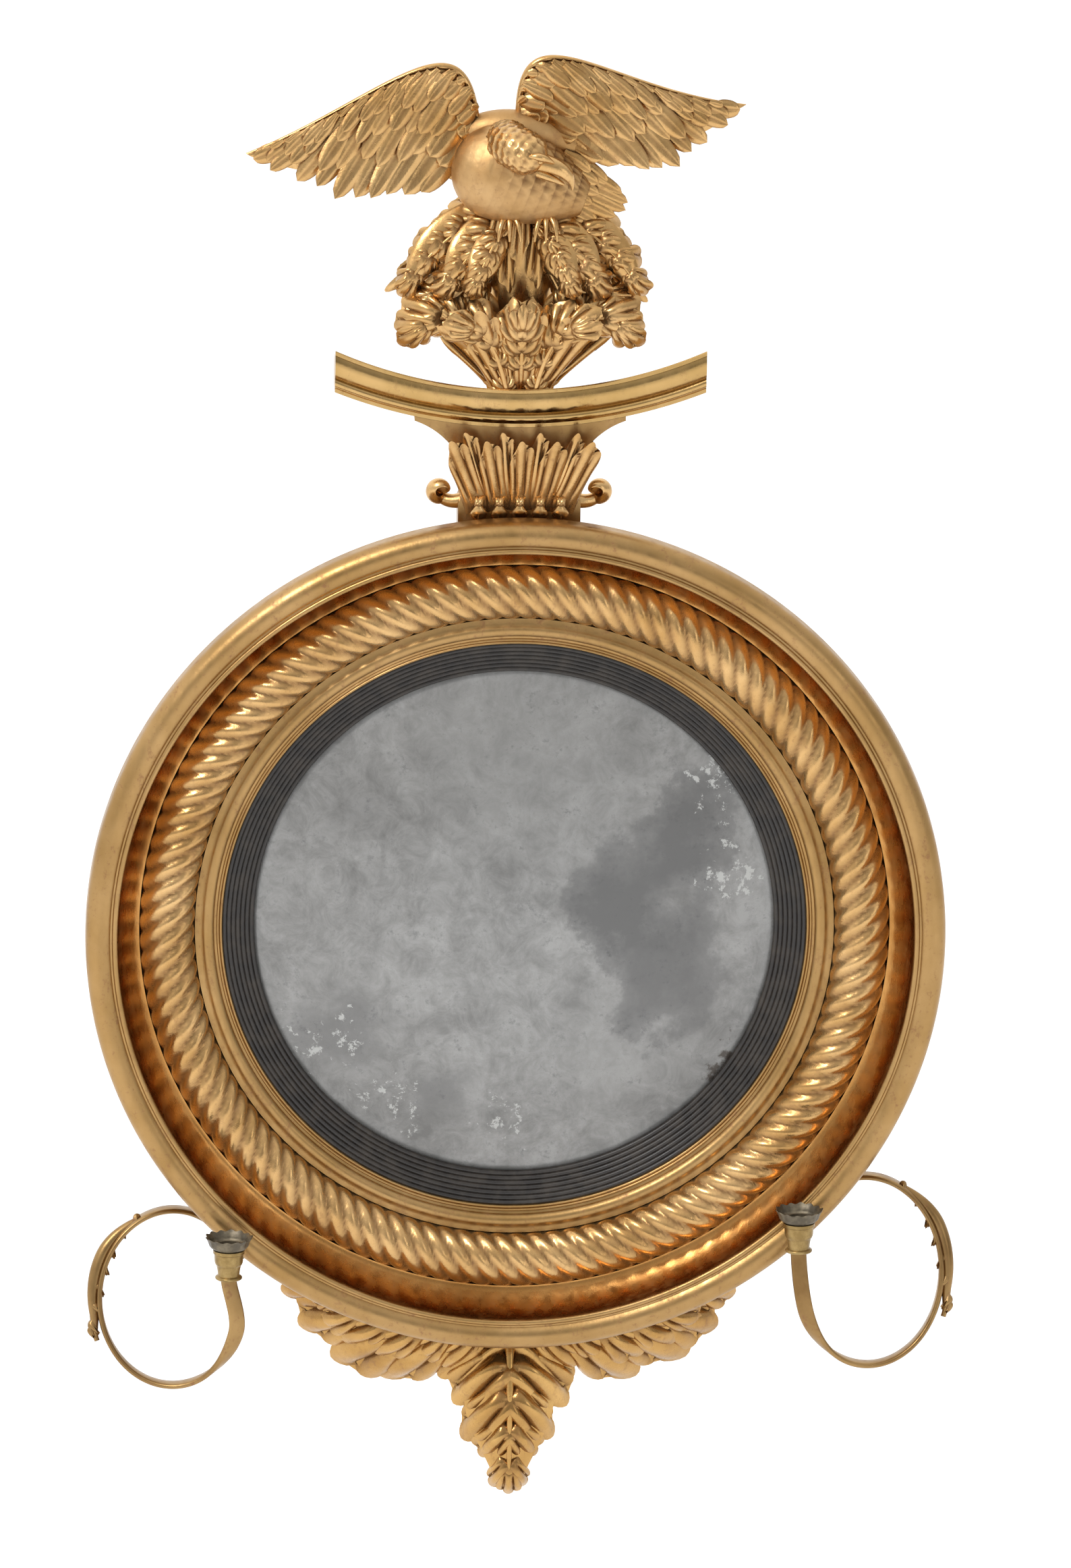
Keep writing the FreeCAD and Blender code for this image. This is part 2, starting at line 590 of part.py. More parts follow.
def bracket_leaves():
    """Splayed ridged ribs that read as upright leaves on the bracket's front."""
    ribs = []
    for i in range(BRACKET_RIBS):
        share = 2.0 * i / (BRACKET_RIBS - 1.0) - 1.0
        foot = at(share * (BRACKET_WAIST_HALF - 6.0), BRACKET_FRONT, RIM_RADIUS - 6.0)
        head = at(share * (BRACKET_TOP_HALF - 26.0), BRACKET_FRONT, PLATFORM_TOP - PLATFORM_HEIGHT + 1.0)
        sections = []
        for rise, half, proud in ((0.0, 8.6, 8.0), (0.3, 9.6, 10.0), (0.75, 12.5, 6.0), (1.0, 13.5, 8.0)):
            place = foot + (head - foot) * rise
            outline = ((-half, 0), (-0.55 * half, proud), (0.55 * half, proud), (half, 0))
            sections.append([place + at(x, depth, 0) for x, depth in outline])
        ribs.append(ruled_solid(sections))
    return less(joined(ribs), ring_envelope(GLUE_LINE), platform_zone(GLUE_LINE))


def scroll(side):
    """Volute at the bracket's foot: a rolled band with a raised eye."""
    centre = at(side * SCROLL_OUT, 0, RIM_RADIUS + SCROLL_LIFT)
    bottom = centre - Vector(0, 0, SCROLL_RADIUS)
    inner_x = side * (BRACKET_WAIST_HALF + BRACKET_FOOT_STEP + GLUE_LINE - SCROLL_OUT)
    heel = centre + Vector(inner_x, 0, -SCROLL_RADIUS)
    notch = centre + Vector(inner_x, 0, -0.35 * SCROLL_RADIUS)
    top = centre + Vector(0, 0, SCROLL_RADIUS)
    outer = centre + Vector(side * SCROLL_RADIUS, 0, 0)
    lip = centre + Vector(-side * 0.72 * SCROLL_RADIUS, 0, 0.4 * SCROLL_RADIUS)
    lip_via = centre + Vector(-side * 0.45 * SCROLL_RADIUS, 0, 0.85 * SCROLL_RADIUS)
    throat = centre + Vector(-side * 0.5 * SCROLL_RADIUS, 0, -0.2 * SCROLL_RADIUS)
    outline = [bottom, (outer, top), (lip_via, lip), throat, notch]
    band = closed_face(heel, outline).extrude(at(0, SCROLL_FRONT - CREST_BACK, 0))
    band.translate(at(0, CREST_BACK, 0))
    eye = Part.makeCone(0.5 * SCROLL_RADIUS, 0.3 * SCROLL_RADIUS, 4.0, centre + at(0, SCROLL_FRONT - 0.5, 0),
                        at(0, 1, 0))
    return less(joined([band, eye]), ring_envelope(GLUE_LINE))


# --- crest: foliage -----------------------------------------------------------------------------
def crest(x, depth, rise):
    """Point above the middle of the platform."""
    return at(x, depth, PLATFORM_TOP + rise)


def foliage_core(grow=0.0):
    """Block behind the leaves: oval, narrow at the waist, flat against the strap."""
    sections = []
    for rise, share in ((-40.0, 0.78), (0.0, 0.78), (70.0, 0.80), (CORE_HEIGHT, 1.0)):
        middle = crest(0, (CREST_BACK + CORE_FRONT) / 2.0 - 6.0, rise + (grow if rise == CORE_HEIGHT else 0.0))
        oval = Part.Ellipse(middle, CORE_HALF * share + grow, (CORE_FRONT - CREST_BACK) / 2.0 * share + 6.0 + grow)
        sections.append(Part.Wire([oval.toShape()]))
    block = Part.makeLoft(sections, True, False)
    back = Part.makeBox(FAR, FAR, FAR, at(-FAR / 2.0, CREST_BACK - grow, 0))
    screws = [strap_screw(place, FIXED) for place in strap_screw_places()]
    return less(block, back, below_platform_top(), *screws)


def below_platform_top():
    """Everything under the platform's sloping top face."""
    centre = at(0, 0, PLATFORM_TOP + PLATFORM_BEND)
    slope = PLATFORM_FALL / (PLATFORM_FRONT - CREST_BACK)
    back, front = CREST_BACK - 20.0, PLATFORM_FRONT
    points = [at(0, front, PLATFORM_TOP), at(0, front, PLATFORM_TOP - 80.0), at(0, back, PLATFORM_TOP - 80.0),
              at(0, back, PLATFORM_TOP - slope * (front - back))]
    return swung(closed_face(points[0], points[1:]))


# Spines of the crest leaves, each as (x, depth, rise) control points from root to tip.
CREST_LEAVES = {
    "centre_leaf": ([(0, 54, -6), (0, 62, 40), (0, 64, 78), (0, 84, 96)], 31.0, 4),
    "upper_centre_leaf": ([(0, 42, 152), (0, 62, 158), (0, 70, 128), (0, 74, 102)], 27.0, 3),
    "lower_left_leaf": ([(-20, 44, -8), (-34, 52, 78), (-88, 64, 98), (-97, 62, 22)], 21.0, 5),
    "lower_right_leaf": ([(20, 44, -8), (34, 52, 78), (88, 64, 98), (97, 62, 22)], 21.0, 5),
    "upper_left_leaf": ([(-24, 36, 140), (-52, 56, 150), (-92, 68, 126), (-114, 66, 74)], 27.0, 5),
    "upper_right_leaf": ([(24, 36, 140), (52, 56, 150), (88, 68, 130), (108, 66, 84)], 27.0, 5),
}


def crest_leaf(name):
    spine, half_width, lobes = CREST_LEAVES[name]
    return leaf([crest(*point) for point in spine], half_width, lobes, 9.0)


def seated_leaf(name):
    """Leaf cut to sit against the core and on the platform, clear of the eagle."""
    blade = less(crest_leaf(name), foliage_core(0.1), below_platform_top())
    if not name.startswith("upper"):
        return blade
    return less(blade, eagle_body(0.1), tail(), *eagle_feet().Solids)


# --- crest: eagle -------------------------------------------------------------------------------
def breast_centre():
    return crest(-20, BODY_DEPTH, EAGLE_LIFT)


def eagle_body(grow=0.0):
    """Egg turned about its own axis, flattened front to back and tilted down towards the tail."""
    radius, tail = BODY_RADIUS + grow, BODY_LENGTH - BODY_RADIUS
    shoulder = at(0, -radius * 0.94, tail * 0.32)
    outline = [(at(0, -radius * 0.75, -radius * 0.66), at(0, -radius, 0)), (shoulder, at(0, -radius * 0.42, tail)),
               at(0, 0, tail + 2.0)]
    egg = closed_face(at(0, 0, -radius), outline).revolve(Vector(0, 0, 0), Vector(0, 0, 1), 360)
    squash = Matrix()
    squash.scale(1.0, BODY_FLATNESS, 1.0)
    egg = egg.transformGeometry(squash)
    egg.rotate(Vector(0, 0, 0), SHAFT, 90.0 + BODY_TILT)
    egg.translate(breast_centre())
    return egg.Solids[0]


def eagle_head():
    """Bowed head and neck with a short hooked beak, in front of the breast."""
    crown = crest(-9, BODY_DEPTH + 32.0, EAGLE_LIFT + 4.0)
    neck_root = crest(-22, BODY_DEPTH + 16.0, EAGLE_LIFT + 14.0)
    skull = Part.makeSphere(HEAD_RADIUS, crown)
    neck_line = crown - neck_root
    neck = Part.makeCone(HEAD_RADIUS + 5.0, HEAD_RADIUS - 1.0, neck_line.Length, neck_root, neck_line)
    beak_root = crown + Vector(9, -5, -5)
    beak = Part.makeCone(8.0, 2.4, 18.0, beak_root, Vector(1, -0.1, -0.35))
    hook = Part.makeCone(2.8, 0.8, 7.0, beak_root + Vector(15.5, -1.5, -5.2), Vector(0.5, 0, -1))
    return less(joined([skull, neck, beak, hook]), eagle_body(0.1))


# Wing edges as (x, depth, rise) control points from the shoulder out to the tip.
WINGS = {
    "left": {"lead": [(-40, 34, 242), (-52, 44, 344), (-122, 46, 266), (-243, 30, 208)],
             "trail": [(-52, 34, 192), (-108, 46, 208), (-150, 46, 156), (-232, 30, 200)]},
    "right": {"lead": [(-2, 34, 246), (-6, 44, 360), (76, 46, 268), (195, 30, 252)],
              "trail": [(34, 34, 214), (84, 46, 214), (124, 46, 184), (186, 30, 246)]},
}


def wing(side):
    """Spread wing: thick along its leading edge, with feather tips along the trailing one."""
    lead = [crest(*point) for point in WINGS[side]["lead"]]
    trail = [crest(*point) for point in WINGS[side]["trail"]]
    sections = []
    steps = 2 * WING_FEATHERS
    for i in range(steps + 1):
        t = i / float(steps)
        front, back = bezier(lead, t), bezier(trail, t)
        tip = 0.06 if i % 2 and t > 0.2 else -0.04 * t
        back = back + (back - front).normalize() * (tip * 130.0 * (1.0 - 0.5 * t))
        thickness = WING_THICKNESS * (1.0 - 0.55 * t)
        sections.append(blade_section(front, back, Vector(0, -1, 0), thickness, 0.35, 0.3))
    return less(ruled_solid(sections), eagle_body(0.1))


def tail():
    """Short fan of tail feathers below the body's end."""
    roots = [crest(34, BODY_DEPTH - 4.0, EAGLE_LIFT + 12.0), crest(24, BODY_DEPTH - 4.0, EAGLE_LIFT - 34.0)]
    tips = [crest(80, BODY_DEPTH - 6.0, EAGLE_LIFT - 20.0), crest(66, BODY_DEPTH - 6.0, EAGLE_LIFT - 50.0)]
    far = crest(91, BODY_DEPTH - 8.0, EAGLE_LIFT - 38.0)
    sections = []
    steps = 2 * TAIL_FEATHERS
    for i in range(steps + 1):
        t = i / float(steps)
        root = roots[0] + (roots[1] - roots[0]) * t
        tip = tips[0] * (1 - t) ** 2 + far * (2 * t * (1 - t)) + tips[1] * t ** 2
        reach = 1.0 if i % 2 else 0.9
        sections.append(blade_section(root, root + (tip - root) * reach, Vector(0, -1, 0), 12.0, 0.4, 0.3))
    return less(ruled_solid(sections), eagle_body(0.1))


def limb(stations, radii):
    """Six-sided rod of changing radius along a few stations."""
    sections = []
    for i, (here, radius) in enumerate(zip(stations, radii)):
        along = (stations[min(i + 1, len(stations) - 1)] - stations[max(i - 1, 0)]).normalize()
        across = along.cross(Vector(0.2, -1, 0.1)).normalize()
        other = along.cross(across).normalize()
        turns = [math.radians(60.0 * k) for k in range(6)]
        sections.append([here + across * (radius * math.cos(turn)) + other * (radius * math.sin(turn))
                         for turn in turns])
    return ruled_solid(sections)


def eagle_feet():
    """Two short legs with three hooked toes each, standing on the foliage core."""
    feet = []
    for x in (-12.0, 20.0):
        ankle = crest(x, 46.0, CORE_HEIGHT + 8.0)
        shin = limb([ankle - Vector(0, 0, 5.0), ankle + Vector(-2, 0, 12.0), ankle + Vector(-4, 3, 30.0)],
                    [6.4, 8.0, 11.0])
        toes = [limb([ankle + at(0.15 * spread, 2.0, 0.7), ankle + at(spread * 0.6, 15.0, 1.0),
                      ankle + at(spread, 23.0, -7.0), ankle + at(spread * 1.1, 23.0, -17.0)],
                     [4.4, 4.2, 3.4, 1.0]) for spread in (-9.5, 0.0, 9.5)]
        foot = joined([shin] + toes)
        feet.append(less(foot, eagle_body(0.1), foliage_core(0.1), crest_leaf("upper_centre_leaf")))
    return Part.makeCompound(feet)


# --- apron --------------------------------------------------------------------------------------
def below(x, depth, drop):
    """Point below the rim's lowest point."""
    return at(x, depth, -(RIM_RADIUS + drop))


def sector(inner, outer, back, front, from_angle, to_angle):
    """Flat curved board between two radii; angles run from straight down towards +X."""
    ring = turned((inner, back), (outer, back), (outer, front), (inner, front))
    reach = outer * 2.0
    corners = [at(0, 0, 0)]
    for i in range(5):
        angle = math.radians(from_angle + (to_angle - from_angle) * i / 4.0)
        corners.append(at(reach * math.sin(angle), 0, -reach * math.cos(angle)))
    wedge = Part.Face(Part.makePolygon(corners + [corners[0]])).extrude(at(0, front + 2.0, 0))
    return ring.common(wedge).Solids[0]


def apron_batten():
    """Curved board on the outside of the carcass that the apron leaves are glued to."""
    batten = sector(COVE_RADIUS + GLUE_LINE, BATTEN_RADIUS, APRON_BACK, BATTEN_FRONT,
                    -BATTEN_HALF_ANGLE, BATTEN_HALF_ANGLE)
    return less(batten, *[apron_screw(angle, FIXED) for angle in apron_screw_angles()])


def apron_screw_angles():
    return [BATTEN_HALF_ANGLE * share for share in (-0.8, -0.27, 0.27, 0.8)]


def apron_screw(angle, clearance=0.0):
    """Screw driven inwards through the batten's edge, or the hole it needs when a clearance is given."""
    turn = math.radians(angle)
    outward = at(math.sin(turn), 0, -math.cos(turn))
    middle = at(0, APRON_BACK + BATTEN_THICKNESS / 2.0, 0)
    sink = BATTEN_RADIUS - SEAT_GAP
    head_length, tip = 3.0, COVE_RADIUS - 18.0
    mouth = sink + (1.0 if clearance else 0.0)
    head = Part.makeCylinder(3.4 + clearance, mouth - sink + head_length + clearance, outward * mouth + middle,
                             -outward)
    shank = Part.makeCylinder(1.6 + clearance, sink - tip + clearance, outward * sink + middle, -outward)
    return head.fuse(shank).Solids[0]


def apron_centre_leaf():
    """Large pointed leaf hanging below the frame."""
    depth = BATTEN_FRONT + 6.0
    spine = [below(0, depth, -26), below(0, depth + 10, 20), below(0, depth + 26, 90),
             below(0, depth + 14, APRON_LEAF_DROP)]
    return less(leaf(spine, APRON_LEAF_HALF, 5, 12.0), apron_batten_zone(), ring_envelope(GLUE_LINE))


def apron_batten_zone():
    """Space behind the apron leaves, up to the batten's front."""
    return Part.makeBox(FAR, FAR, FAR, at(-FAR / 2.0, BATTEN_FRONT, -FAR))


def apron_spray(side):
    """Leafy border that follows the frame, with lobes that hang outwards."""
    sections = []
    steps = 2 * SPRAY_LOBES + 1
    for i in range(steps + 1):
        t = i / float(steps)
        angle = math.radians(SPRAY_FROM + (SPRAY_TO - SPRAY_FROM) * t)
        lobe = 1.0 if i % 2 else 0.62
        outer = RIM_RADIUS + SPRAY_LEAST + SPRAY_SWELL * math.sin(math.pi * (0.12 + 0.86 * t)) * lobe
        outward = at(side * math.sin(angle), 0, -math.cos(angle))
        root = outward * (RIM_RADIUS - SPRAY_ROOT) + at(0, BATTEN_FRONT + 5.5, 0)
        tip = outward * outer + at(0, SPRAY_DEPTH, 0)
        sections.append(blade_section(root, tip, Vector(0, -1, 0), 11.0, 0.45, 0.45))
    eyes = [shank(arm, 2 * SEAT_GAP) for arm in ARMS.values()]
    return less(ruled_solid(sections), apron_batten_zone(), ring_envelope(GLUE_LINE), apron_centre_leaf(), *eyes)


# --- candle arms --------------------------------------------------------------------------------
def arm_eye(arm):
    """Iron screw-eye in the carcass's edge: level shank and the lower knuckle of the pivot."""
    pivot = arm_pivot(arm)
    knuckle = Part.makeCylinder(KNUCKLE_RADIUS, KNUCKLE_HEIGHT, pivot - Vector(0, 0, KNUCKLE_HEIGHT))
    hole = Part.makeCylinder(PIN_RADIUS, KNUCKLE_HEIGHT + 20.0, pivot - Vector(0, 0, KNUCKLE_HEIGHT + 10.0))
    return less(joined([shank(arm), knuckle]), hole)


def pivot_pin(arm):
    """Headed pin through both knuckles, tight in the lower one."""
    pivot = arm_pivot(arm)
    top = KNUCKLE_HEIGHT + 2 * SEAT_GAP
    return lathe(pivot, [(0, -KNUCKLE_HEIGHT - 2.0), (PIN_RADIUS, -KNUCKLE_HEIGHT - 2.0), (PIN_RADIUS, top),
                         (PIN_RADIUS + 2.0, top), (PIN_RADIUS + 1.2, top + 2.4), (0, top + 2.4)])


def loop_point(arm, turn, lift=0.0):
    """Point on the middle of the loop's strip at a turn in degrees, or lifted off its outer face."""
    share = (turn - LOOP_START) / (LOOP_END - LOOP_START)
    start_depth = ARM_PIVOT_DEPTH + 3.0
    depth = start_depth + (ARM_END_DEPTH - start_depth) * share ** 0.85
    angle = math.radians(turn)
    out = arm["middle"] + (arm["half"] + lift) * math.cos(angle)
    above = (arm["rise"] + lift) * math.sin(angle) - LOOP_HANG * arm["rise"]
    return arm_pivot(arm) + at(arm["side"] * out, depth - ARM_PIVOT_DEPTH, above)


def arm_path(arm):
    """Points and twists of the strip: out from the pivot, round its loop, up to the cup's foot."""
    steps = 18
    path = [(arm_pivot(arm) + Vector(0, 0, SEAT_GAP + KNUCKLE_HEIGHT / 2.0), 0.0)]
    for i in range(steps + 1):
        share = i / float(steps)
        turn = LOOP_START + (LOOP_END - LOOP_START) * share
        path.append((loop_point(arm, turn), max(0.0, (share - 0.72) / 0.28)))
    foot = cup_foot(arm)
    return path + [(foot - Vector(0, 0, 12.0), 1.0), (foot, 1.0)]


def arm_scroll(arm):
    """Flat gilt iron strip bent into one loop that comes forward from the pivot to the candle cup."""
    path = arm_path(arm)
    sections = []
    for i, (here, twist) in enumerate(path):
        ahead = path[min(i + 1, len(path) - 1)][0]
        behind = path[max(i - 1, 0)][0]
        along = (ahead - behind).normalize() if i < len(path) - 1 else Vector(0, 0, 1)
        wide = Vector(twist * arm["side"], -(1.0 - twist), 0)
        across = (wide - along * wide.dot(along)).normalize()
        thick = along.cross(across).normalize() * (ARM_STRIP_THICKNESS / 2.0)
        width = KNUCKLE_HEIGHT * 0.8 if i == 0 else ARM_STRIP_WIDTH
        half = across * (width / 2.0)
        sections.append([here - half - thick, here + half - thick, here + half + thick, here - half + thick])
    strip = ruled_solid(sections)
    pivot = arm_pivot(arm)
    knuckle = Part.makeCylinder(KNUCKLE_RADIUS, KNUCKLE_HEIGHT, pivot + Vector(0, 0, SEAT_GAP))
    hole = Part.makeCylinder(PIN_RADIUS + RUNNING, KNUCKLE_HEIGHT + 20.0, pivot - Vector(0, 0, 5.0))
    below_seat = Part.makeBox(60, 60, 60, pivot + Vector(-30, -30, SEAT_GAP - 60.0))
    return less(joined([strip, knuckle]), hole, below_seat)


def arm_leaf(arm):
    """Small leaf laid along the outside of the loop, with its tip curled away."""
    spine = [loop_point(arm, turn, lift) for turn, lift in ((64.0, 2.0), (40.0, 6.5), (4.0, 9.0), (-22.0, 18.0))]
    blade = leaf(spine, 10.0, 3, 6.0, Vector(arm["side"], 0, 0.25))
    return less(blade, arm_scroll(arm))


def candle_cup(arm):
    """Turned brass cup on the arm's end."""
    socket = CANDLE_RADIUS + SPIGOT_WALL + 2 * RUNNING
    floor = CUP_HEIGHT - CUP_SOCKET_DEPTH
    return lathe(cup_foot(arm), [
        (0, 0), (CUP_FOOT_RADIUS + 1.6, 0), (CUP_FOOT_RADIUS + 1.6, 2.5), (CUP_FOOT_RADIUS, 4.0),
        (CUP_FOOT_RADIUS + 0.6, floor - 3.0), (CUP_TOP_RADIUS - 1.6, floor + 1.0),
        (CUP_TOP_RADIUS - 1.0, CUP_HEIGHT - 3.0), (CUP_TOP_RADIUS, CUP_HEIGHT - 2.6),
        (CUP_TOP_RADIUS, CUP_HEIGHT), (socket, CUP_HEIGHT), (socket, floor), (0, floor)])


def drip_pan(arm):
    """Loose dish whose tube drops into the cup and holds the candle."""
    seat = cup_foot(arm) + Vector(0, 0, CUP_HEIGHT + SEAT_GAP)
    tube = CANDLE_RADIUS + SPIGOT_WALL
    spigot = CUP_SOCKET_DEPTH - 1.0
    dish = lathe(seat, [(CANDLE_RADIUS, -spigot), (tube, -spigot), (tube, 0), (tube + 2.0, 0),
                        (PAN_RADIUS - 3.5, 3.2), (PAN_RADIUS, PAN_DEPTH - 1.0), (PAN_RADIUS, PAN_DEPTH),
                        (PAN_RADIUS - 1.4, PAN_DEPTH), (PAN_RADIUS - 4.8, 3.2 + PAN_WALL),
                        (tube + 1.0, PAN_WALL + 0.4), (tube + 0.6, 4.4), (CANDLE_RADIUS, 4.4)])
    notches = []
    for i in range(PAN_SCALLOPS):
        turn = 2.0 * math.pi * i / PAN_SCALLOPS
        outward = Vector(math.cos(turn), math.sin(turn), 0)
        notches.append(Part.makeCylinder(3.2, PAN_DEPTH, seat + outward * (PAN_RADIUS + 2.0) + Vector(0, 0, 4.0)))
    return less(dish, *notches)


# --- the list of pieces -------------------------------------------------------------------------
def pieces():
    """Every node's name and the function that makes it."""
    made = {
        "carcass_ring": carcass_ring, "cove_ring": cove_ring, "rim_moulding": rim_moulding,
        "rope_moulding": rope_moulding, "inner_moulding": inner_moulding, "ebonised_slip": ebonised_slip,
        "mirror_plate": mirror_plate, "glass_blocks": glass_blocks, "backboard": backboard,
        "backboard_screws": backboard_screws, "crest_strap": crest_strap, "hanging_ring": hanging_ring,
        "ring_staple": ring_staple,
        "strap_screws": lambda: Part.makeCompound([strap_screw(place) for place in strap_screw_places()]),
        "platform": platform, "platform_bracket": platform_bracket, "bracket_leaves": bracket_leaves,
        "left_scroll": lambda: scroll(-1), "right_scroll": lambda: scroll(1), "foliage_core": foliage_core,
        "eagle_body": eagle_body, "eagle_head": eagle_head, "left_wing": lambda: wing("left"),
        "right_wing": lambda: wing("right"), "eagle_tail": tail, "eagle_feet": eagle_feet,
        "apron_batten": apron_batten, "apron_centre_leaf": apron_centre_leaf,
        "apron_screws": lambda: Part.makeCompound([apron_screw(angle) for angle in apron_screw_angles()]),
        "apron_left_spray": lambda: apron_spray(-1), "apron_right_spray": lambda: apron_spray(1),
    }
    for name in CREST_LEAVES:
        made[name] = lambda name=name: seated_leaf(name)
    for name, arm in ARMS.items():
        made[name + "_arm_eye"] = lambda arm=arm: arm_eye(arm)
        made[name + "_pivot_pin"] = lambda arm=arm: pivot_pin(arm)
        made[name + "_arm_scroll"] = lambda arm=arm: arm_scroll(arm)
        made[name + "_arm_leaf"] = lambda arm=arm: arm_leaf(arm)
        made[name + "_candle_cup"] = lambda arm=arm: candle_cup(arm)
        made[name + "_drip_pan"] = lambda arm=arm: drip_pan(arm)
    return made


def main():
    os.makedirs("parts", exist_ok=True)
    for name, make in pieces().items():
        shape = make()
        shape.exportStep("parts/" + name + ".step")
        print(name, len(shape.Solids), shape.isValid(), round(shape.Volume / 1000.0, 2))


main()
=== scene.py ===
"""Looks of the convex girandole mirror: gilding, carving, foxed glass and candle arms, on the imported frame.

Metres, in the frame of the CAD part: +Z is up, +X is the viewer's right and -Y points out of the wall.
A depth is a distance forward of the wall, so depth d lies at y = -d. Lists of carving points are in
millimetres, as (x, depth, height above the platform's middle) or as their function says.
"""

import math

import bpy
import numpy as np
from mathutils import Matrix, Vector


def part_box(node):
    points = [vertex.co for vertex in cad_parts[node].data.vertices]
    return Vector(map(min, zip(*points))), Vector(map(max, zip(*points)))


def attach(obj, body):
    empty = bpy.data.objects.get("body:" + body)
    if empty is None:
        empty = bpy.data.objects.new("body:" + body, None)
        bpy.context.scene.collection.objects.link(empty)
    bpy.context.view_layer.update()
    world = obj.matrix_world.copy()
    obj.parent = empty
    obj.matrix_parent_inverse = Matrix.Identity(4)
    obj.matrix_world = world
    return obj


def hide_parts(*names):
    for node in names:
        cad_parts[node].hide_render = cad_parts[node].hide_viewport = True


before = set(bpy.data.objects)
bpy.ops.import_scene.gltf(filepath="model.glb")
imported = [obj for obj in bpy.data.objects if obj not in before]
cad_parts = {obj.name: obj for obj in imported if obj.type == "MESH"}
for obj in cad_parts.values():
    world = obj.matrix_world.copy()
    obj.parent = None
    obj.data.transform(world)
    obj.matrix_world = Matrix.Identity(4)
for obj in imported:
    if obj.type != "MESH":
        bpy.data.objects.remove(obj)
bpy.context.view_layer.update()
MM = 0.001
FORWARD = (0.0, -1.0, 0.0)


# --- sizes read from the frame --------------------------------------------------------------------
def reach(node):
    """Half width of a node that is centred on the frame's axis."""
    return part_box(node)[1].x


def front(node):
    return -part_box(node)[0].y


def back(node):
    return -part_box(node)[1].y


SIGHT_RADIUS = 0.230  # of the glass that shows
SLIP_RADIUS = reach("ebonised_slip")
ROPE_INNER = reach("inner_moulding")
ROPE_OUTER = reach("rope_moulding")
COVE_RADIUS = reach("carcass_ring")
RIM_RADIUS = reach("rim_moulding")
FLOOR_DEPTH = back("rope_moulding")
COVE_TOP = front("cove_ring")
PLATFORM_HALF = reach("platform")
PLATFORM_RISE = 0.115  # its middle above the top of the rim
PLATFORM_TOP = RIM_RADIUS + PLATFORM_RISE
PLATFORM_BEND = 0.3994  # radius of its upward curve
ROPE_STRANDS = 112
STRAND_TWIST = math.radians(9.0)  # turn of the frame in which a strand crosses the rope


# --- meshes ---------------------------------------------------------------------------------------
SOFT, CREASED, TURNED = 180.0, 60.0, 30.0  # degrees up to which an edge is shaded smooth


def build_mesh(name, vertices, quads, triangles, finish, hollow, sharp):
    """Object from arrays of corners and faces, with the share of dust and shade at each corner."""
    mesh = bpy.data.meshes.new(name)
    loops = np.concatenate([quads.ravel(), triangles.ravel()]).astype(np.int32)
    starts = np.concatenate([np.arange(len(quads)) * 4, len(quads) * 4 + np.arange(len(triangles)) * 3])
    mesh.vertices.add(len(vertices))
    mesh.vertices.foreach_set("co", np.asarray(vertices, np.float32).ravel())
    mesh.loops.add(len(loops))
    mesh.loops.foreach_set("vertex_index", loops)
    mesh.polygons.add(len(starts))
    mesh.polygons.foreach_set("loop_start", starts.astype(np.int32))
    mesh.polygons.foreach_set("use_smooth", np.ones(len(starts), bool))
    mesh.update(calc_edges=True)
    shares = mesh.attributes.new("hollow", "FLOAT", "POINT")
    shares.data.foreach_set("value", np.asarray(hollow, np.float32).ravel())
    mesh.set_sharp_from_angle(angle=math.radians(sharp))
    mesh.materials.append(finish)
    piece = bpy.data.objects.new(name, mesh)
    bpy.context.scene.collection.objects.link(piece)
    return piece


def loft_faces(lofts, sections, corners):
    """Quads between neighbouring sections and a fan to a centre point at both ends of every loft."""
    start = np.arange(lofts)[:, None, None] * sections * corners
    row = np.arange(sections - 1)[None, :, None] * corners
    here = np.arange(corners)[None, None, :]
    after = (here + 1) % corners
    quads = np.stack([start + row + here, start + row + after, start + row + corners + after,
                      start + row + corners + here], -1).reshape(-1, 4)
    centre = lofts * sections * corners + 2 * np.arange(lofts)[:, None]
    first, last = start[:, 0], start[:, 0] + (sections - 1) * corners
    here, after = here[0], after[0]
    fans = [np.stack([centre + 0 * here, first + after, first + here], -1),
            np.stack([centre + 1 + 0 * here, last + here, last + after], -1)]
    return quads, np.concatenate([fan.reshape(-1, 3) for fan in fans])


def loft_volume(rings):
    """Signed volume of each closed loft, from the tetrahedra between its faces and the origin."""
    ahead = np.roll(rings, -1, axis=2)
    a, b, c, d = rings[:, :-1], ahead[:, :-1], ahead[:, 1:], rings[:, 1:]
    body = (a * np.cross(b, c)).sum((1, 2, 3)) + (a * np.cross(c, d)).sum((1, 2, 3))
    low, high = rings[:, :1].mean(2, keepdims=True), rings[:, -1:].mean(2, keepdims=True)
    caps = (low * np.cross(ahead[:, :1], rings[:, :1])).sum((1, 2, 3))
    caps += (high * np.cross(rings[:, -1:], ahead[:, -1:])).sum((1, 2, 3))
    return body + caps


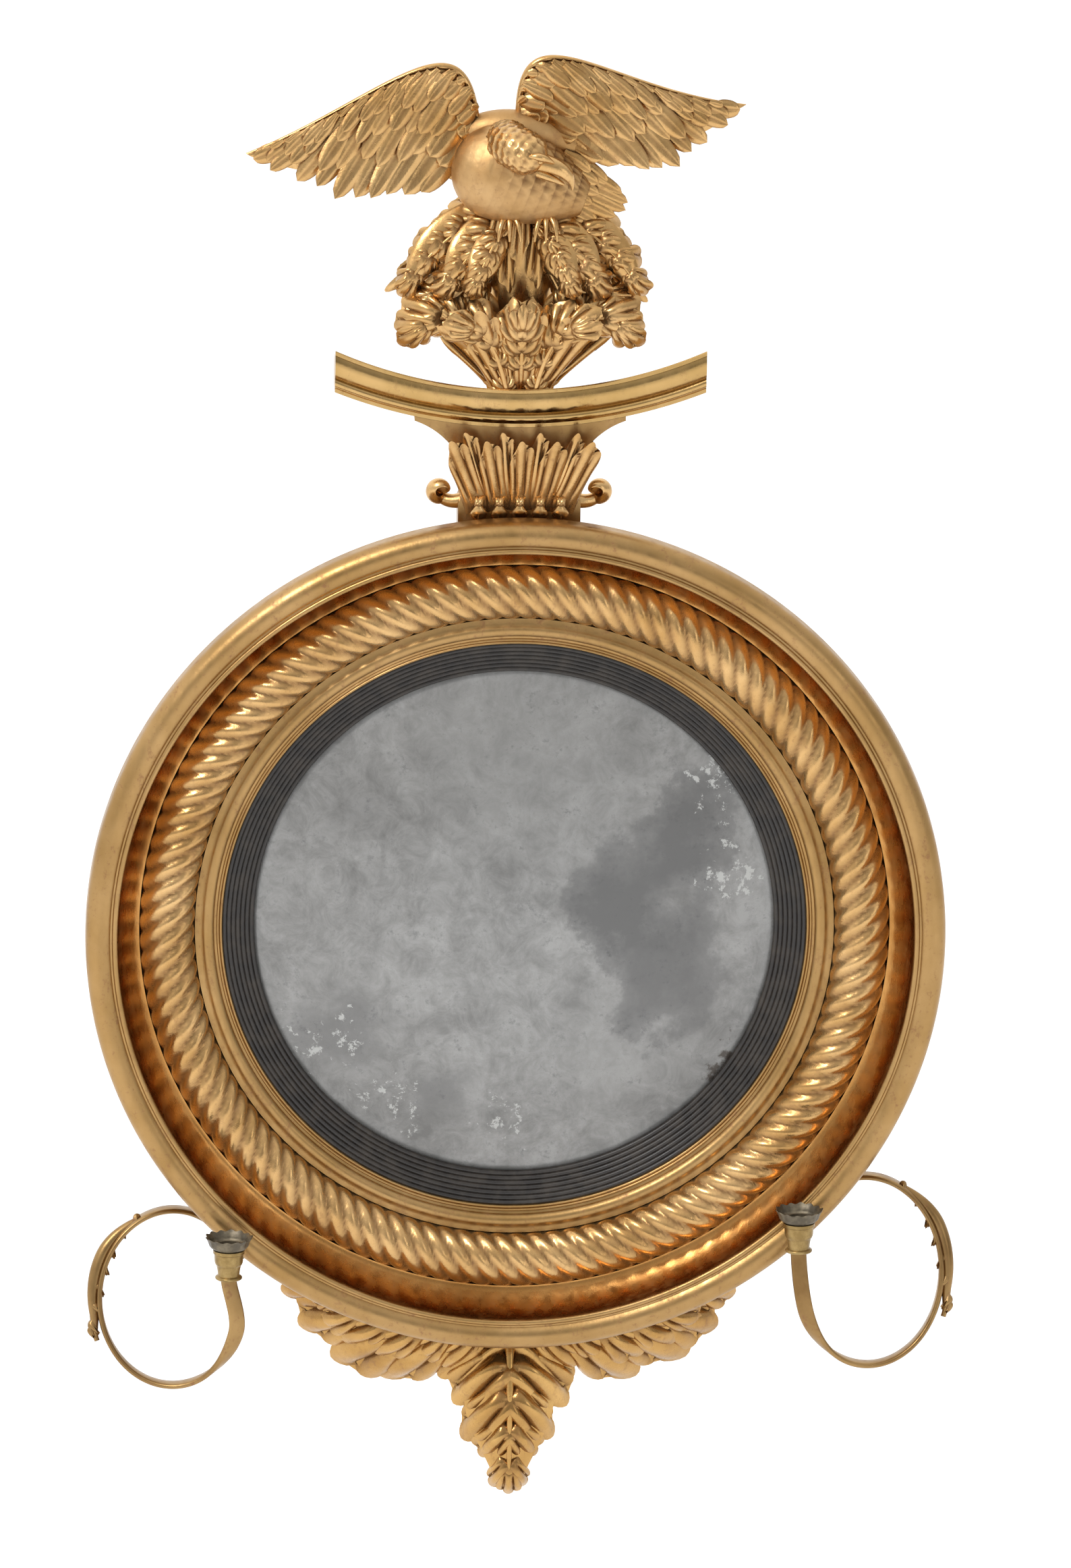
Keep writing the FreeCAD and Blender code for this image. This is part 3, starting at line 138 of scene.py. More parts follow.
def lofted(name, rings, finish, hollow=0.0, sharp=CREASED):
    """Mesh of closed lofts: rings[k, i, j] is corner j of section i of loft k, turned to face outwards."""
    rings = np.array(rings, float)
    if rings.ndim == 3:
        rings = rings[None]
    shape = rings.shape[:3]
    hollow = np.array(np.broadcast_to(hollow, shape), float)
    inside_out = loft_volume(rings) < 0
    for data in (rings, hollow):
        data[inside_out] = data[inside_out][:, :, ::-1]

    def with_ends(data, *width):
        """Rows of the data, then its mean over the first and the last section of every loft."""
        ends = data[:, [0, -1]].mean(axis=2)
        return np.concatenate([data.reshape(-1, *width), ends.reshape(-1, *width)])

    return build_mesh(name, with_ends(rings, 3), *loft_faces(*shape), finish, with_ends(hollow), sharp)


def wrapped(name, points, finish, hollow=0.0, sharp=TURNED):
    """Mesh of a grid that closes on itself both ways, such as a moulding that goes right round."""
    rows, columns = points.shape[:2]
    i, j = np.meshgrid(np.arange(rows), np.arange(columns), indexing="ij")
    below, beside = (i + 1) % rows, (j + 1) % columns
    here, under = i * columns, below * columns
    quads = np.stack([here + j, here + beside, under + beside, under + j], -1).reshape(-1, 4)
    flat = points.reshape(-1, 3)
    a, b, c, d = (flat[quads[:, k]] for k in range(4))
    if (a * (np.cross(b, c) + np.cross(c, d))).sum() < 0:
        quads = quads[:, ::-1]
    hollow = np.broadcast_to(hollow, (rows, columns))
    return build_mesh(name, flat, quads, np.zeros((0, 3), int), finish, hollow, sharp)


def joined(name, parts):
    """One object from several, so that a carved piece stays one piece."""
    bpy.ops.object.select_all(action="DESELECT")
    for part in parts:
        part.select_set(True)
    bpy.context.view_layer.objects.active = parts[0]
    if len(parts) > 1:
        bpy.ops.object.join()
    parts[0].name = name
    parts[0].data.name = name
    return parts[0]


# --- curves ---------------------------------------------------------------------------------------
def unit(vectors):
    return vectors / np.maximum(np.linalg.norm(vectors, axis=-1, keepdims=True), 1e-12)


def smooth(low, high, value):
    """0 up to low, 1 from high, and 3s^2 - 2s^3 of the share s between them."""
    share = np.clip((value - low) / (high - low), 0, 1)
    return share * share * (3 - 2 * share)


def circle(count):
    """Angles of even steps round a full turn."""
    return np.linspace(0, 2 * np.pi, count, endpoint=False)


def bezier(points, t):
    """Cubic Bezier curve through four control points at the parameters t, and its unit direction."""
    a, b, c, d = (np.array(point, float) for point in points)
    t = np.asarray(t, float)[..., None]
    s = 1.0 - t
    place = a * s ** 3 + 3 * b * s * s * t + 3 * c * s * t * t + d * t ** 3
    slope = 3 * (b - a) * s * s + 6 * (c - b) * s * t + 3 * (d - c) * t * t
    return place, unit(slope)


def smooth_path(points, count):
    """Cubic Bezier through four control points at even parameters."""
    return bezier(points, np.linspace(0, 1, count))[0]


def tube(path, radii, corners, squash=1.0):
    """Round sections of given radii along a path of points, each at right angles to the path."""
    path, radii = np.array(path, float), np.array(radii, float)
    along = unit(np.gradient(path, axis=0))
    across = unit(np.cross(along, [0.13, 0.97, 0.21]))
    other = np.cross(along, across)
    ring = circle(corners)[:, None]
    section = across[:, None] * np.cos(ring) + squash * other[:, None] * np.sin(ring)
    return path[:, None] + radii[:, None, None] * section


def arc(start, via, end):
    """Ten even points of the circle through start, via and end, without the start itself."""
    (x1, y1), (x2, y2), (x3, y3) = start, via, end
    double = 2 * (x1 * (y2 - y3) + x2 * (y3 - y1) + x3 * (y1 - y2))
    s1, s2, s3 = x1 * x1 + y1 * y1, x2 * x2 + y2 * y2, x3 * x3 + y3 * y3
    cx = (s1 * (y2 - y3) + s2 * (y3 - y1) + s3 * (y1 - y2)) / double
    cy = (s1 * (x3 - x2) + s2 * (x1 - x3) + s3 * (x2 - x1)) / double
    a, v, b = (math.atan2(y - cy, x - cx) for x, y in (start, via, end))
    sweep, middle = (b - a) % (2 * math.pi), (v - a) % (2 * math.pi)
    if middle > sweep:
        sweep -= 2 * math.pi
    turn = a + sweep * np.arange(1, 11) / 10
    radius = math.hypot(x1 - cx, y1 - cy)
    return list(zip(cx + radius * np.cos(turn), cy + radius * np.sin(turn)))


def outline(start, *steps):
    """Outline of corners and (via, end) arcs as one array of points."""
    points = [start]
    for step in steps:
        points += arc(points[-1], *step) if isinstance(step[0], tuple) else [step]
    return np.array(points, float)


def about_axis(radius, depth, turn):
    """Points at a radius from the frame's axis and at a depth, turned from straight up."""
    return np.stack(np.broadcast_arrays(radius * np.sin(turn), -depth, radius * np.cos(turn)), -1)


def turned_ring(name, profile, finish):
    """Ring about the frame's axis: every (radius, depth) point of the profile goes once round."""
    return wrapped(name, about_axis(profile[:, 0], profile[:, 1], circle(480)[:, None]), finish)


def turned_upright(name, foot, profile, finish, around=64, ruffle=None):
    """Vessel about a vertical axis from (radius, height) points, which a ruffle may move."""
    turn = circle(around)[:, None]
    radius, height = profile[:, 0] + 0 * turn, profile[:, 1] + 0 * turn
    if ruffle is not None:
        radius, height = ruffle(turn, radius, height)
    points = np.stack([radius * np.cos(turn), radius * np.sin(turn), height], -1) + np.array(foot)
    return wrapped(name, points, finish)


def below(points):
    """Points given as (x, depth, height above the frame's centre) in millimetres, in metres."""
    points = np.asarray(points, float)
    return np.stack([points[..., 0], -points[..., 1], points[..., 2]], -1) * MM


def above(points):
    """Points given as (x, depth, height above the platform's middle) in millimetres, in metres."""
    return below(points) + np.array([0, 0, PLATFORM_TOP])


# --- shader expressions ---------------------------------------------------------------------------
class Wire:
    """A shader value: arithmetic on it adds Math nodes to its tree."""

    def __init__(self, nodes, socket):
        self.nodes = nodes
        self.socket = socket

    def math(self, operation, first, second):
        return self.nodes.add("ShaderNodeMath", {"operation": operation}, {0: first, 1: second})

    def __add__(self, other):
        return self.math("ADD", self, other)

    def __radd__(self, other):
        return self.math("ADD", other, self)

    def __sub__(self, other):
        return self.math("SUBTRACT", self, other)

    def __rsub__(self, other):
        return self.math("SUBTRACT", other, self)

    def __mul__(self, other):
        return self.math("MULTIPLY", self, other)

    def __rmul__(self, other):
        return self.math("MULTIPLY", other, self)


class Nodes:
    """A node tree under construction, to which one method adds any node."""

    def __init__(self, tree):
        self.tree = tree

    def add(self, kind, settings, sockets, output=0):
        """Adds a node: settings first, then the values or links of its sockets."""
        node = self.tree.nodes.new(kind)
        for key, value in settings.items():
            if key == "stops":
                self.set_stops(node.color_ramp, value)
            else:
                setattr(node, key, value)
        for key, value in sockets.items():
            self.put(node.inputs[key], value)
        return Wire(self, node.outputs[output])

    def put(self, socket, value):
        """Links a socket to a shader value, or sets it to a number, a vector or an opaque colour."""
        if isinstance(value, Wire):
            self.tree.links.new(value.socket, socket)
        elif isinstance(value, tuple) and len(value) == 3 and len(socket.default_value) == 4:
            socket.default_value = value + (1.0,)
        else:
            socket.default_value = value

    def set_stops(self, ramp, stops):
        """Stops of a ramp as (position, value or colour) pairs."""
        while len(ramp.elements) < len(stops):
            ramp.elements.new(0.5)
        for element, (position, value) in zip(ramp.elements, stops):
            colour = value if isinstance(value, tuple) else (value, value, value)
            element.position = position
            element.color = colour + (1.0,)


class Paint(Nodes):
    """A material under construction, with short names for the nodes that finishes use."""

    def __init__(self, name):
        self.material = bpy.data.materials.new(name)
        self.material.use_nodes = True
        super().__init__(self.material.node_tree)
        self.shader = self.tree.nodes["Principled BSDF"]
        self.place = self.add("ShaderNodeTexCoord", {}, {}, "Object")

    def noise(self, scale, detail, roughness, place=None, distortion=0.0, output=0):
        sockets = {"Vector": place or self.place, "Scale": scale, "Detail": detail, "Roughness": roughness,
                   "Distortion": distortion}
        return self.add("ShaderNodeTexNoise", {}, sockets, output)

    def ramp(self, value, *stops):
        return self.add("ShaderNodeValToRGB", {"stops": stops}, {0: value})

    def mix(self, share, first, second):
        """Colour between first and second."""
        return self.add("ShaderNodeMix", {"data_type": "RGBA"}, {0: share, 6: first, 7: second}, 2)

    def stretched(self, scale):
        """Place on the piece times a scale along x, y and z: a pattern is long where it is small."""
        return self.add("ShaderNodeMapping", {}, {"Vector": self.place, "Scale": scale})

    def spot(self, centre, radius, place):
        """1 where a place is at the centre and 0 at the radius from it, with a soft fall between."""
        away = self.add("ShaderNodeVectorMath", {"operation": "DISTANCE"}, {0: place, 1: centre}, "Value")
        sockets = {"Value": away, "From Min": 0.0, "From Max": radius, "To Min": 1.0, "To Max": 0.0}
        return self.add("ShaderNodeMapRange", {"interpolation_type": "SMOOTHSTEP"}, sockets)

    def bump(self, height, distance, strength):
        sockets = {"Height": height, "Distance": distance, "Strength": strength}
        self.put(self.shader.inputs["Normal"], self.add("ShaderNodeBump", {}, sockets))

    def finish(self, **sockets):
        """Sets the surface's sockets, named with underscores for spaces, and hands back the material."""
        for key, value in sockets.items():
            self.put(self.shader.inputs[key.replace("_", " ")], value)
        return self.material


# --- finishes -------------------------------------------------------------------------------------
BOLE = (0.20, 0.075, 0.028)
# Colour of the hollows in carved gilding: dust, and painted shade in the recesses.
DUST_AND_SHADE_GILT = (0.16, 0.070, 0.020)


def gilding(name, bright, body, roughness, wear, grain=0.35, carved=True):
    """Old water gilding: leaf that shines on high places, red-brown bole where rubbed, dust and painted shade
    in hollows.
    """
    paint = Paint(name)
    cloud = paint.noise(14.0, 5.0, 0.6)
    speck = paint.noise(260.0, 3.0, 0.7)
    scratch = paint.noise(90.0, 4.0, 0.65, paint.stretched((1.0, 1.0, 0.35)))
    colour = paint.mix(paint.ramp(cloud, (0.35, 0.0), (0.68, 1.0)), body, bright)
    rubbed = paint.ramp(speck * 0.6 + scratch * 0.5, (0.60, 0.0), (0.72, wear))
    colour = paint.mix(rubbed, colour, BOLE)
    hollow = paint.add("ShaderNodeAttribute", {"attribute_name": "hollow"}, {}, "Fac")
    if carved:
        # Carved pieces darken towards this colour by their hollow share: partly dust, partly painted shade in
        # grooves and recesses.
        colour = paint.mix(hollow * 0.9, colour, DUST_AND_SHADE_GILT)
    paint.bump(cloud * 0.3 + speck * grain + scratch * 0.4, 0.0009, 0.55)
    rough = paint.ramp(scratch, (0.3, roughness - 0.07), (0.75, roughness + 0.13))
    return paint.finish(Base_Color=colour, Metallic=1.0 - rubbed * 0.7 - hollow * 0.35, Roughness=rough)


def ebonised(name, black, brown):
    """Black stained and polished wood, dusty brown along its reeds."""
    paint = Paint(name)
    dust = paint.noise(60.0, 5.0, 0.65)
    colour = paint.mix(paint.ramp(dust, (0.42, 0.0), (0.72, 0.8)), black, brown)
    paint.bump(paint.noise(700.0, 2.0, 0.5), 0.0003, 0.3)
    return paint.finish(Base_Color=colour, Roughness=paint.ramp(dust, (0.3, 0.30), (0.7, 0.52)))


def foxed_glass(name):
    """Silvered glass whose backing has clouded, greyed and flaked with age.

    Noise pushes each place by up to the tear, half of it on average, so a round cloud has a torn edge."""
    paint = Paint(name)
    warp = paint.noise(7.0, 7.0, 0.66, distortion=1.0)
    fine = paint.noise(40.0, 8.0, 0.75, distortion=0.6)
    veil = paint.ramp(warp * 0.45 + fine * 0.55, (0.38, (0.14, 0.137, 0.130)),
                      (0.48, (0.205, 0.201, 0.192)), (0.60, (0.29, 0.285, 0.274)))
    tear = 190.0
    torn = paint.add("ShaderNodeVectorMath", {"operation": "MULTIPLY_ADD"},
                     {0: paint.noise(11.0, 7.0, 0.68, output="Color"), 1: (tear * MM, 0.0, tear * MM),
                      2: paint.place}, "Vector")

    def clouds(*places):
        """Sum of clouds on the glass, each given by x and z in millimetres, a radius and a strength."""
        total = 0.0
        for x, z, radius, strength in places:
            centre = ((x + tear / 2) * MM, -0.055, (z + tear / 2) * MM)
            total = total + paint.spot(centre, radius * MM, torn) * strength
        return total

    bright = clouds((0, 170, 170, 0.7), (90, -110, 110, 0.8))
    veil = paint.mix(bright * 0.55, veil, (0.33, 0.325, 0.312))
    stain = clouds((120, 45, 95, 1.0), (95, 5, 65, 1.0), (130, -50, 80, 1.0), (160, 95, 70, 1.0),
                   (-150, -95, 90, 0.5), (-60, -165, 70, 0.5), (-140, 110, 70, 0.3))
    cloudy = paint.ramp(stain * 0.62 + fine * 0.45, (0.36, 0.0), (0.52, 0.55), (0.95, 0.95))
    veil = paint.mix(cloudy, veil, (0.115, 0.113, 0.110))
    peppered = paint.ramp(paint.noise(150.0, 5.0, 0.8) * 0.6 + fine * 0.5, (0.60, 0.0), (0.72, 0.55))
    veil = paint.mix(peppered, veil, (0.07, 0.07, 0.07))
    edge = clouds((178, 118, 62, 1.0), (205, 45, 60, 1.0), (-172, -105, 70, 0.8), (-110, -175, 70, 0.7),
                  (-10, -205, 60, 0.7), (120, 170, 40, 0.6))
    flakes = paint.ramp(paint.noise(95.0, 5.0, 0.75) * 0.75 + edge * 0.24, (0.540, 0.0), (0.57, 1.0))
    flaked = flakes * paint.ramp(edge, (0.05, 0.0), (0.4, 0.85))
    veil = paint.mix(flaked, veil, (0.44, 0.44, 0.42))
    rust = paint.ramp(paint.spot((0.281, -0.040, -0.017), 0.030, torn), (0.30, 0.0), (0.55, 0.85))
    veil = paint.mix(rust, veil, (0.045, 0.032, 0.022))
    rough = 0.32 + cloudy * 0.15 + flaked * 0.3
    return paint.finish(Base_Color=veil, Metallic=0.3 - flaked * 0.3, Roughness=rough, Coat_Weight=0.12)


def old_pine(name, light, dark):
    """Bare softwood gone brown, with long grain and patches of grime."""
    paint = Paint(name)
    grain = paint.noise(9.0, 6.0, 0.62, paint.stretched((4.0, 4.0, 0.16)), 0.6)
    fibre = paint.noise(60.0, 5.0, 0.7, paint.stretched((6.0, 6.0, 0.25)))
    grime = paint.noise(6.0, 5.0, 0.65)
    colour = paint.mix(paint.ramp(grain * 0.8 + fibre * 0.35, (0.42, 0.0), (0.74, 1.0)), dark, light)
    colour = paint.mix(paint.ramp(grime, (0.45, 0.0), (0.75, 0.6)), colour, (0.07, 0.045, 0.028))
    paint.bump(fibre, 0.0006, 0.5)
    return paint.finish(Base_Color=colour, Roughness=0.78)


def dark_iron(name, colour, roughness):
    """Blackened iron with a little brown rust."""
    paint = Paint(name)
    rust = paint.noise(120.0, 6.0, 0.7)
    share = paint.ramp(rust, (0.5, 0.0), (0.75, 0.8))
    paint.bump(rust, 0.0005, 0.5)
    rusty = paint.mix(share, colour, (0.13, 0.065, 0.035))
    return paint.finish(Base_Color=rusty, Metallic=0.85 - share * 0.5, Roughness=share * 0.3 + roughness)


def patina(name, colour, high, roughness):
    """Brass or bronze sheet under a brown-grey skin, rubbed brighter in places."""
    paint = Paint(name)
    rubbed = paint.ramp(paint.noise(70.0, 5.0, 0.65), (0.45, 0.0), (0.70, 1.0))
    paint.bump(paint.noise(240.0, 3.0, 0.6), 0.0004, 0.5)
    return paint.finish(Base_Color=paint.mix(rubbed, colour, high), Metallic=0.75,
                        Roughness=0.15 * rubbed + roughness)


CARVED = gilding("carved_gilding", (0.66, 0.42, 0.185), (0.46, 0.26, 0.09), 0.27, 0.35)
# The apron's gilding is a darker copy of the carved gilding: painted shade on the apron, which hangs low and
# faces down.
APRON_SHADED_GILDING = gilding("apron_gilding_painted_shade", (0.58, 0.35, 0.125), (0.38, 0.205, 0.06), 0.25, 0.35)
BREAST = gilding("breast_gilding", (0.56, 0.36, 0.17), (0.42, 0.24, 0.09), 0.50, 0.35)
MOULDED = gilding("moulded_gilding", (0.43, 0.265, 0.11), (0.34, 0.20, 0.072), 0.36, 0.55, 0.2, False)
BURNISHED = gilding("burnished_gilding", (0.54, 0.345, 0.14), (0.42, 0.26, 0.09), 0.20, 0.20, 0.05, False)
COVE = gilding("cove_gilding", (0.56, 0.285, 0.09), (0.40, 0.185, 0.05), 0.26, 0.25, 0.05, False)
GILT_IRON = gilding("gilt_iron", (0.36, 0.225, 0.092), (0.21, 0.12, 0.045), 0.34, 0.6, 0.15, False)
EBONY = ebonised("ebonised_wood", (0.013, 0.010, 0.008), (0.045, 0.035, 0.026))
GLASS = foxed_glass("foxed_mirror")
PINE = old_pine("old_pine", (0.34, 0.20, 0.095), (0.16, 0.085, 0.04))
BOARD = old_pine("back_board", (0.28, 0.17, 0.085), (0.12, 0.065, 0.032))
IRON = dark_iron("black_iron", (0.055, 0.050, 0.048), 0.45)
STEEL = dark_iron("screw_steel", (0.22, 0.21, 0.20), 0.38)
BRASS = patina("cup_brass", (0.24, 0.155, 0.052), (0.42, 0.29, 0.115), 0.30)
BRONZE = patina("pan_bronze", (0.10, 0.082, 0.057), (0.25, 0.205, 0.135), 0.42)

SLOTS = dict.fromkeys((CARVED, APRON_SHADED_GILDING, BREAST, MOULDED, BURNISHED, COVE), "gilt_wood")
SLOTS.update({GILT_IRON: "gilt_iron", EBONY: "ebonised_wood", GLASS: "mirror_glass", BRASS: "cup_brass",
              BRONZE: "pan_metal"})


def settle(piece, body, *nodes):
    """Stands a piece for its CAD nodes, on their body, and hides those nodes."""
    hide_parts(*nodes)
    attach(piece, body)


# --- round frame ----------------------------------------------------------------------------------
def strand_relief(turn, across):
    """Height of the rope's strands, 0 in a groove and 1 on a crest, from the share round one strand.

    A strand is a helix: it gains its twist round the frame while it crosses the half round."""
    full = 2 * np.pi
    share = (turn / full * ROPE_STRANDS + STRAND_TWIST / full * ROPE_STRANDS * (across - 0.5)) % 1.0
    return np.sin(np.pi * share) ** 0.8


def carved_rope():
    """Half-round ring: radius and depth follow a half circle, less a groove between the strands."""
    steps_per_strand, columns, deepest = 12, 15, 0.0050
    turn = circle(ROPE_STRANDS * steps_per_strand)[:, None]
    across = np.linspace(0, 1, columns)[None, :]
    crest = strand_relief(turn, across)
    groove = deepest * (1.0 - crest) * np.sin(np.pi * across) ** 0.5
    middle, half = (ROPE_INNER + ROPE_OUTER) / 2, (ROPE_OUTER - ROPE_INNER) / 2
    rise = front("rope_moulding") - FLOOR_DEPTH
    radius = middle - (half - groove) * np.cos(np.pi * across)
    depth = FLOOR_DEPTH + (rise - groove) * np.sin(np.pi * across)
    # The hollow share, 1 in a groove, darkens the grooves between strands: dust and painted shade.
    piece = wrapped("carved_rope", about_axis(radius, depth, turn), CARVED, (1.0 - crest) ** 1.2, SOFT)
    settle(piece, "frame", "rope_moulding")


def reeded(start, end, count, rise):
    """Row of round reeds from start to end, each a half wave that stands proud of the line by rise."""
    start, end = np.array(start), np.array(end)
    share = np.linspace(0, 1, count * 8 + 1)[1:]
    line = start + (end - start) * share[:, None]
    normal = np.array([-(end - start)[1], (end - start)[0]])
    normal = normal / np.linalg.norm(normal) * (1 if normal[1] > 0 else -1)
    return line + normal * (rise * np.abs(np.sin(np.pi * share * count)) ** 0.8)[:, None]


def mouldings():
    """The turned rings, from the slip beside the glass to the rim."""
    shoulder, slip_front, slip_low = back("inner_moulding"), 0.042, 0.031
    base = outline((SIGHT_RADIUS, shoulder + 0.001), (SLIP_RADIUS, shoulder + 0.001),
                   (SLIP_RADIUS, slip_front))
    reeds = reeded((SLIP_RADIUS, slip_front), (SIGHT_RADIUS, slip_low), 7, 0.0014)
    slip = turned_ring("reeded_slip", np.concatenate([base, reeds]), EBONY)
    settle(slip, "frame", "ebonised_slip")

    step, start = SLIP_RADIUS + 0.012, slip_front + 0.0015

    def at(share):
        """Radius at a share of the inner moulding's width."""
        return SLIP_RADIUS + share * (ROPE_INNER - SLIP_RADIUS)

    edge = outline((SLIP_RADIUS, shoulder), (step, shoulder), (step, FLOOR_DEPTH),
                   (ROPE_INNER, FLOOR_DEPTH), (ROPE_INNER, FLOOR_DEPTH + 0.003),
                   (at(0.84), FLOOR_DEPTH + 0.0034), (at(0.74), 0.048),
                   ((at(0.56), 0.050), (at(0.30), start + 0.0016)), (at(0.22), start + 0.001))
    beads = reeded((at(0.22), start + 0.001), (SLIP_RADIUS, start), 2, 0.0012)
    inner = turned_ring("lined_inner_ring", np.concatenate([edge, beads]), MOULDED)
    settle(inner, "frame", "inner_moulding")

    wall = COVE_RADIUS + 0.004
    hollow = outline((ROPE_OUTER, FLOOR_DEPTH), (wall, FLOOR_DEPTH), (wall, COVE_TOP),
                     (COVE_RADIUS, COVE_TOP), ((COVE_RADIUS - 0.0036, FLOOR_DEPTH + 0.016),
                                               (ROPE_OUTER + 0.002, FLOOR_DEPTH + 0.003)),
                     (ROPE_OUTER, FLOOR_DEPTH + 0.003))
    settle(turned_ring("burnished_cove", hollow, COVE), "frame", "cove_ring")

    lip, crest = COVE_TOP + 0.003, front("rim_moulding")
    rim = outline((COVE_RADIUS, COVE_TOP), (COVE_RADIUS, lip - 0.001),
                  ((COVE_RADIUS + 0.0022, lip + 0.0015), (COVE_RADIUS + 0.005, lip - 0.0008)),
                  (COVE_RADIUS + 0.0065, lip - 0.001),
                  ((RIM_RADIUS - 0.012, crest), (RIM_RADIUS - 0.0002, 0.076)),
                  (RIM_RADIUS, 0.0665), ((RIM_RADIUS - 0.0012, 0.0645), (RIM_RADIUS - 0.0027, 0.0642)),
                  ((RIM_RADIUS - 0.0145, 0.056), (COVE_RADIUS + 0.008, FLOOR_DEPTH)),
                  (wall, FLOOR_DEPTH), (wall, COVE_TOP))
    settle(turned_ring("gilt_rim", rim, MOULDED), "frame", "rim_moulding")


def convex_glass():
    """Dome of a sphere: depth is its centre's, plus the root of its radius squared less r squared."""
    bulge, shoulder, thickness = 0.038, 0.028, 0.004
    pole, edge = 0.0006, 0.236
    radius = np.linspace(pole, edge, 60)[:, None]
    sphere = (SIGHT_RADIUS ** 2 + bulge ** 2) / (2 * bulge)
    centre = shoulder - math.sqrt(sphere ** 2 - SIGHT_RADIUS ** 2)
    faces = [about_axis(radius, centre + np.sqrt(ball ** 2 - radius ** 2), circle(240))
             for ball in (sphere, sphere - thickness)]
    glass = lofted("foxed_glass", np.concatenate([faces[0], faces[1][::-1]]), GLASS)
    settle(glass, "frame", "mirror_plate")


# --- carved leaves --------------------------------------------------------------------------------
def grown(roots, *moves):
    """Grid of points for every root: the root plus each direction times its amounts over the grid."""
    points = roots[:, None, None]
    for direction, amount in moves:
        points = points + direction[:, None, None] * amount[..., None]
    return points


def fan_lobes(roots, forward, sideways, outward, lengths, spread, curl, flutes, thickness, seed, neck=0.30,
              arch=0.14, gouge=0.11):
    """Rounded lobes of acanthus, all at once: every lobe is a fan of gouged leaflets round its root.

    r runs from the root to the edge and f from -1 to 1 across the fan, whose half angle is the spread. It
    reaches furthest in the middle and is scalloped at the edge, one scallop to a leaflet. The lobe arches
    out of its plane, has a gouge cut along each leaflet, and bends back on a circle by the curl angle."""
    r = (np.linspace(0.0, 1.0, 17) ** 0.85)[None, :, None]
    f = np.concatenate([np.linspace(-1, 1, 8 * flutes + 1), np.linspace(1, -1, 9)[1:-1]])[None, None, :]
    is_front = (np.arange(f.shape[-1]) <= 8 * flutes)[None, None, :]
    size = lengths[:, None, None]
    wave = 0.10 * np.sin(2.3 * f + 1.7 * np.arange(len(roots))[:, None, None] + seed)
    scallop = np.abs(np.sin(np.pi * flutes * (f + 1) / 2)) ** 0.6
    reach_out = (1 - 0.42 * np.abs(f) ** 1.4 + wave) * (1 - 0.16 * (1 - scallop) * smooth(0.3, 1.0, r))
    angle = spread * f * (0.7 + 0.3 * r)
    ahead = r * reach_out * np.cos(angle)
    aside = r * reach_out * np.sin(angle) + neck * f * (1 - r)
    relief = arch * np.sin(np.pi * r ** 0.7) * (1 - f ** 2) + gouge * (scallop - 0.7) * smooth(0.02, 0.4, r)
    relief = relief * (1 - r ** 10)
    body = thickness * (1 - 0.55 * r) * (1 - 0.75 * f ** 2) + 0.6
    height = np.where(is_front, size * relief + 0.4 * body, -0.6 * body)
    bent_back = -(1 - np.cos(curl * ahead)) / curl * size
    points = grown(roots, (forward, np.sin(curl * ahead) / curl * size), (sideways, size * aside),
                   (outward, bent_back + height))
    # Hollow share: darker in the notches between leaflets and near the root, as dust and painted shade.
    hollow = is_front * ((1 - scallop) * 0.9 * smooth(0.05, 0.35, r) + smooth(0.35, 0.0, r) * 0.8)
    return points, np.clip(hollow, 0, 1)


def spine_frame(spine, u, facing=FORWARD):
    """Places along a leaf's spine, and the directions along it, across it and out of its face there."""
    place, along = bezier(spine, u)
    across = unit(np.cross(along, np.array(facing, float)))
    return place, along, across, unit(np.cross(across, along))


def acanthus(spine, length, lobes, facing=FORWARD, cup=0.5, start=68.0, end=24.0, base=0.7, peak=0.3,
             tip=0.55, spread=0.55, curl=0.9, flutes=4, sides=(-1, 1), thickness=4.0, seed=0):
    """Acanthus leaf of fan lobes along a Bezier spine, in millimetres, with one more lobe at its tip.

    Lobes leave the spine at an angle that falls from start to end along it, each tilted back by the cup
    angle, and their length rises from base to 1 at the peak and falls to the share tip."""
    u = np.append(np.repeat(np.linspace(0.04, 0.86, lobes), len(sides)), 0.90)
    hand = np.append(np.tile(np.array(sides, float), lobes), 0.0)
    place, along, across, lift = spine_frame(spine, u, facing)
    swell = np.where(u < peak, base + (1 - base) * smooth(0, peak, u),
                     tip + (1 - tip) * (1 - smooth(peak, 1.0, u)))
    swell = swell * (1 + 0.06 * np.sin(3.1 * np.arange(len(u)) + seed))
    lean = np.radians(start + (end - start) * u) * hand
    tilt = cup * np.abs(hand)
    outwards = across * np.cos(tilt)[:, None] - lift * np.sin(tilt)[:, None] * hand[:, None]
    forward = along * np.cos(lean)[:, None] + outwards * np.sin(lean)[:, None]
    lifted = lift * np.cos(tilt)[:, None] + across * (np.sin(tilt) * hand)[:, None]
    outward = unit(lifted - forward * (lifted * forward).sum(-1, keepdims=True))
    roots = place + lift * (length * 0.10 * (1 - u))[:, None]
    return fan_lobes(roots, forward, np.cross(forward, outward), outward, length * swell, spread, curl,
                     flutes, thickness, seed)


def midrib(spine, length):
    """Rounded rib on top of the lobes, thin towards the leaf's tip."""
    u = np.linspace(0, 0.93, 30)
    place, _, _, lift = spine_frame(spine, u)
    path = place + lift * (length * 0.16 * (1 - 0.7 * u))[:, None]
    return tube(path, length * 0.06 * (1 - 0.75 * u) + 0.4, 12)


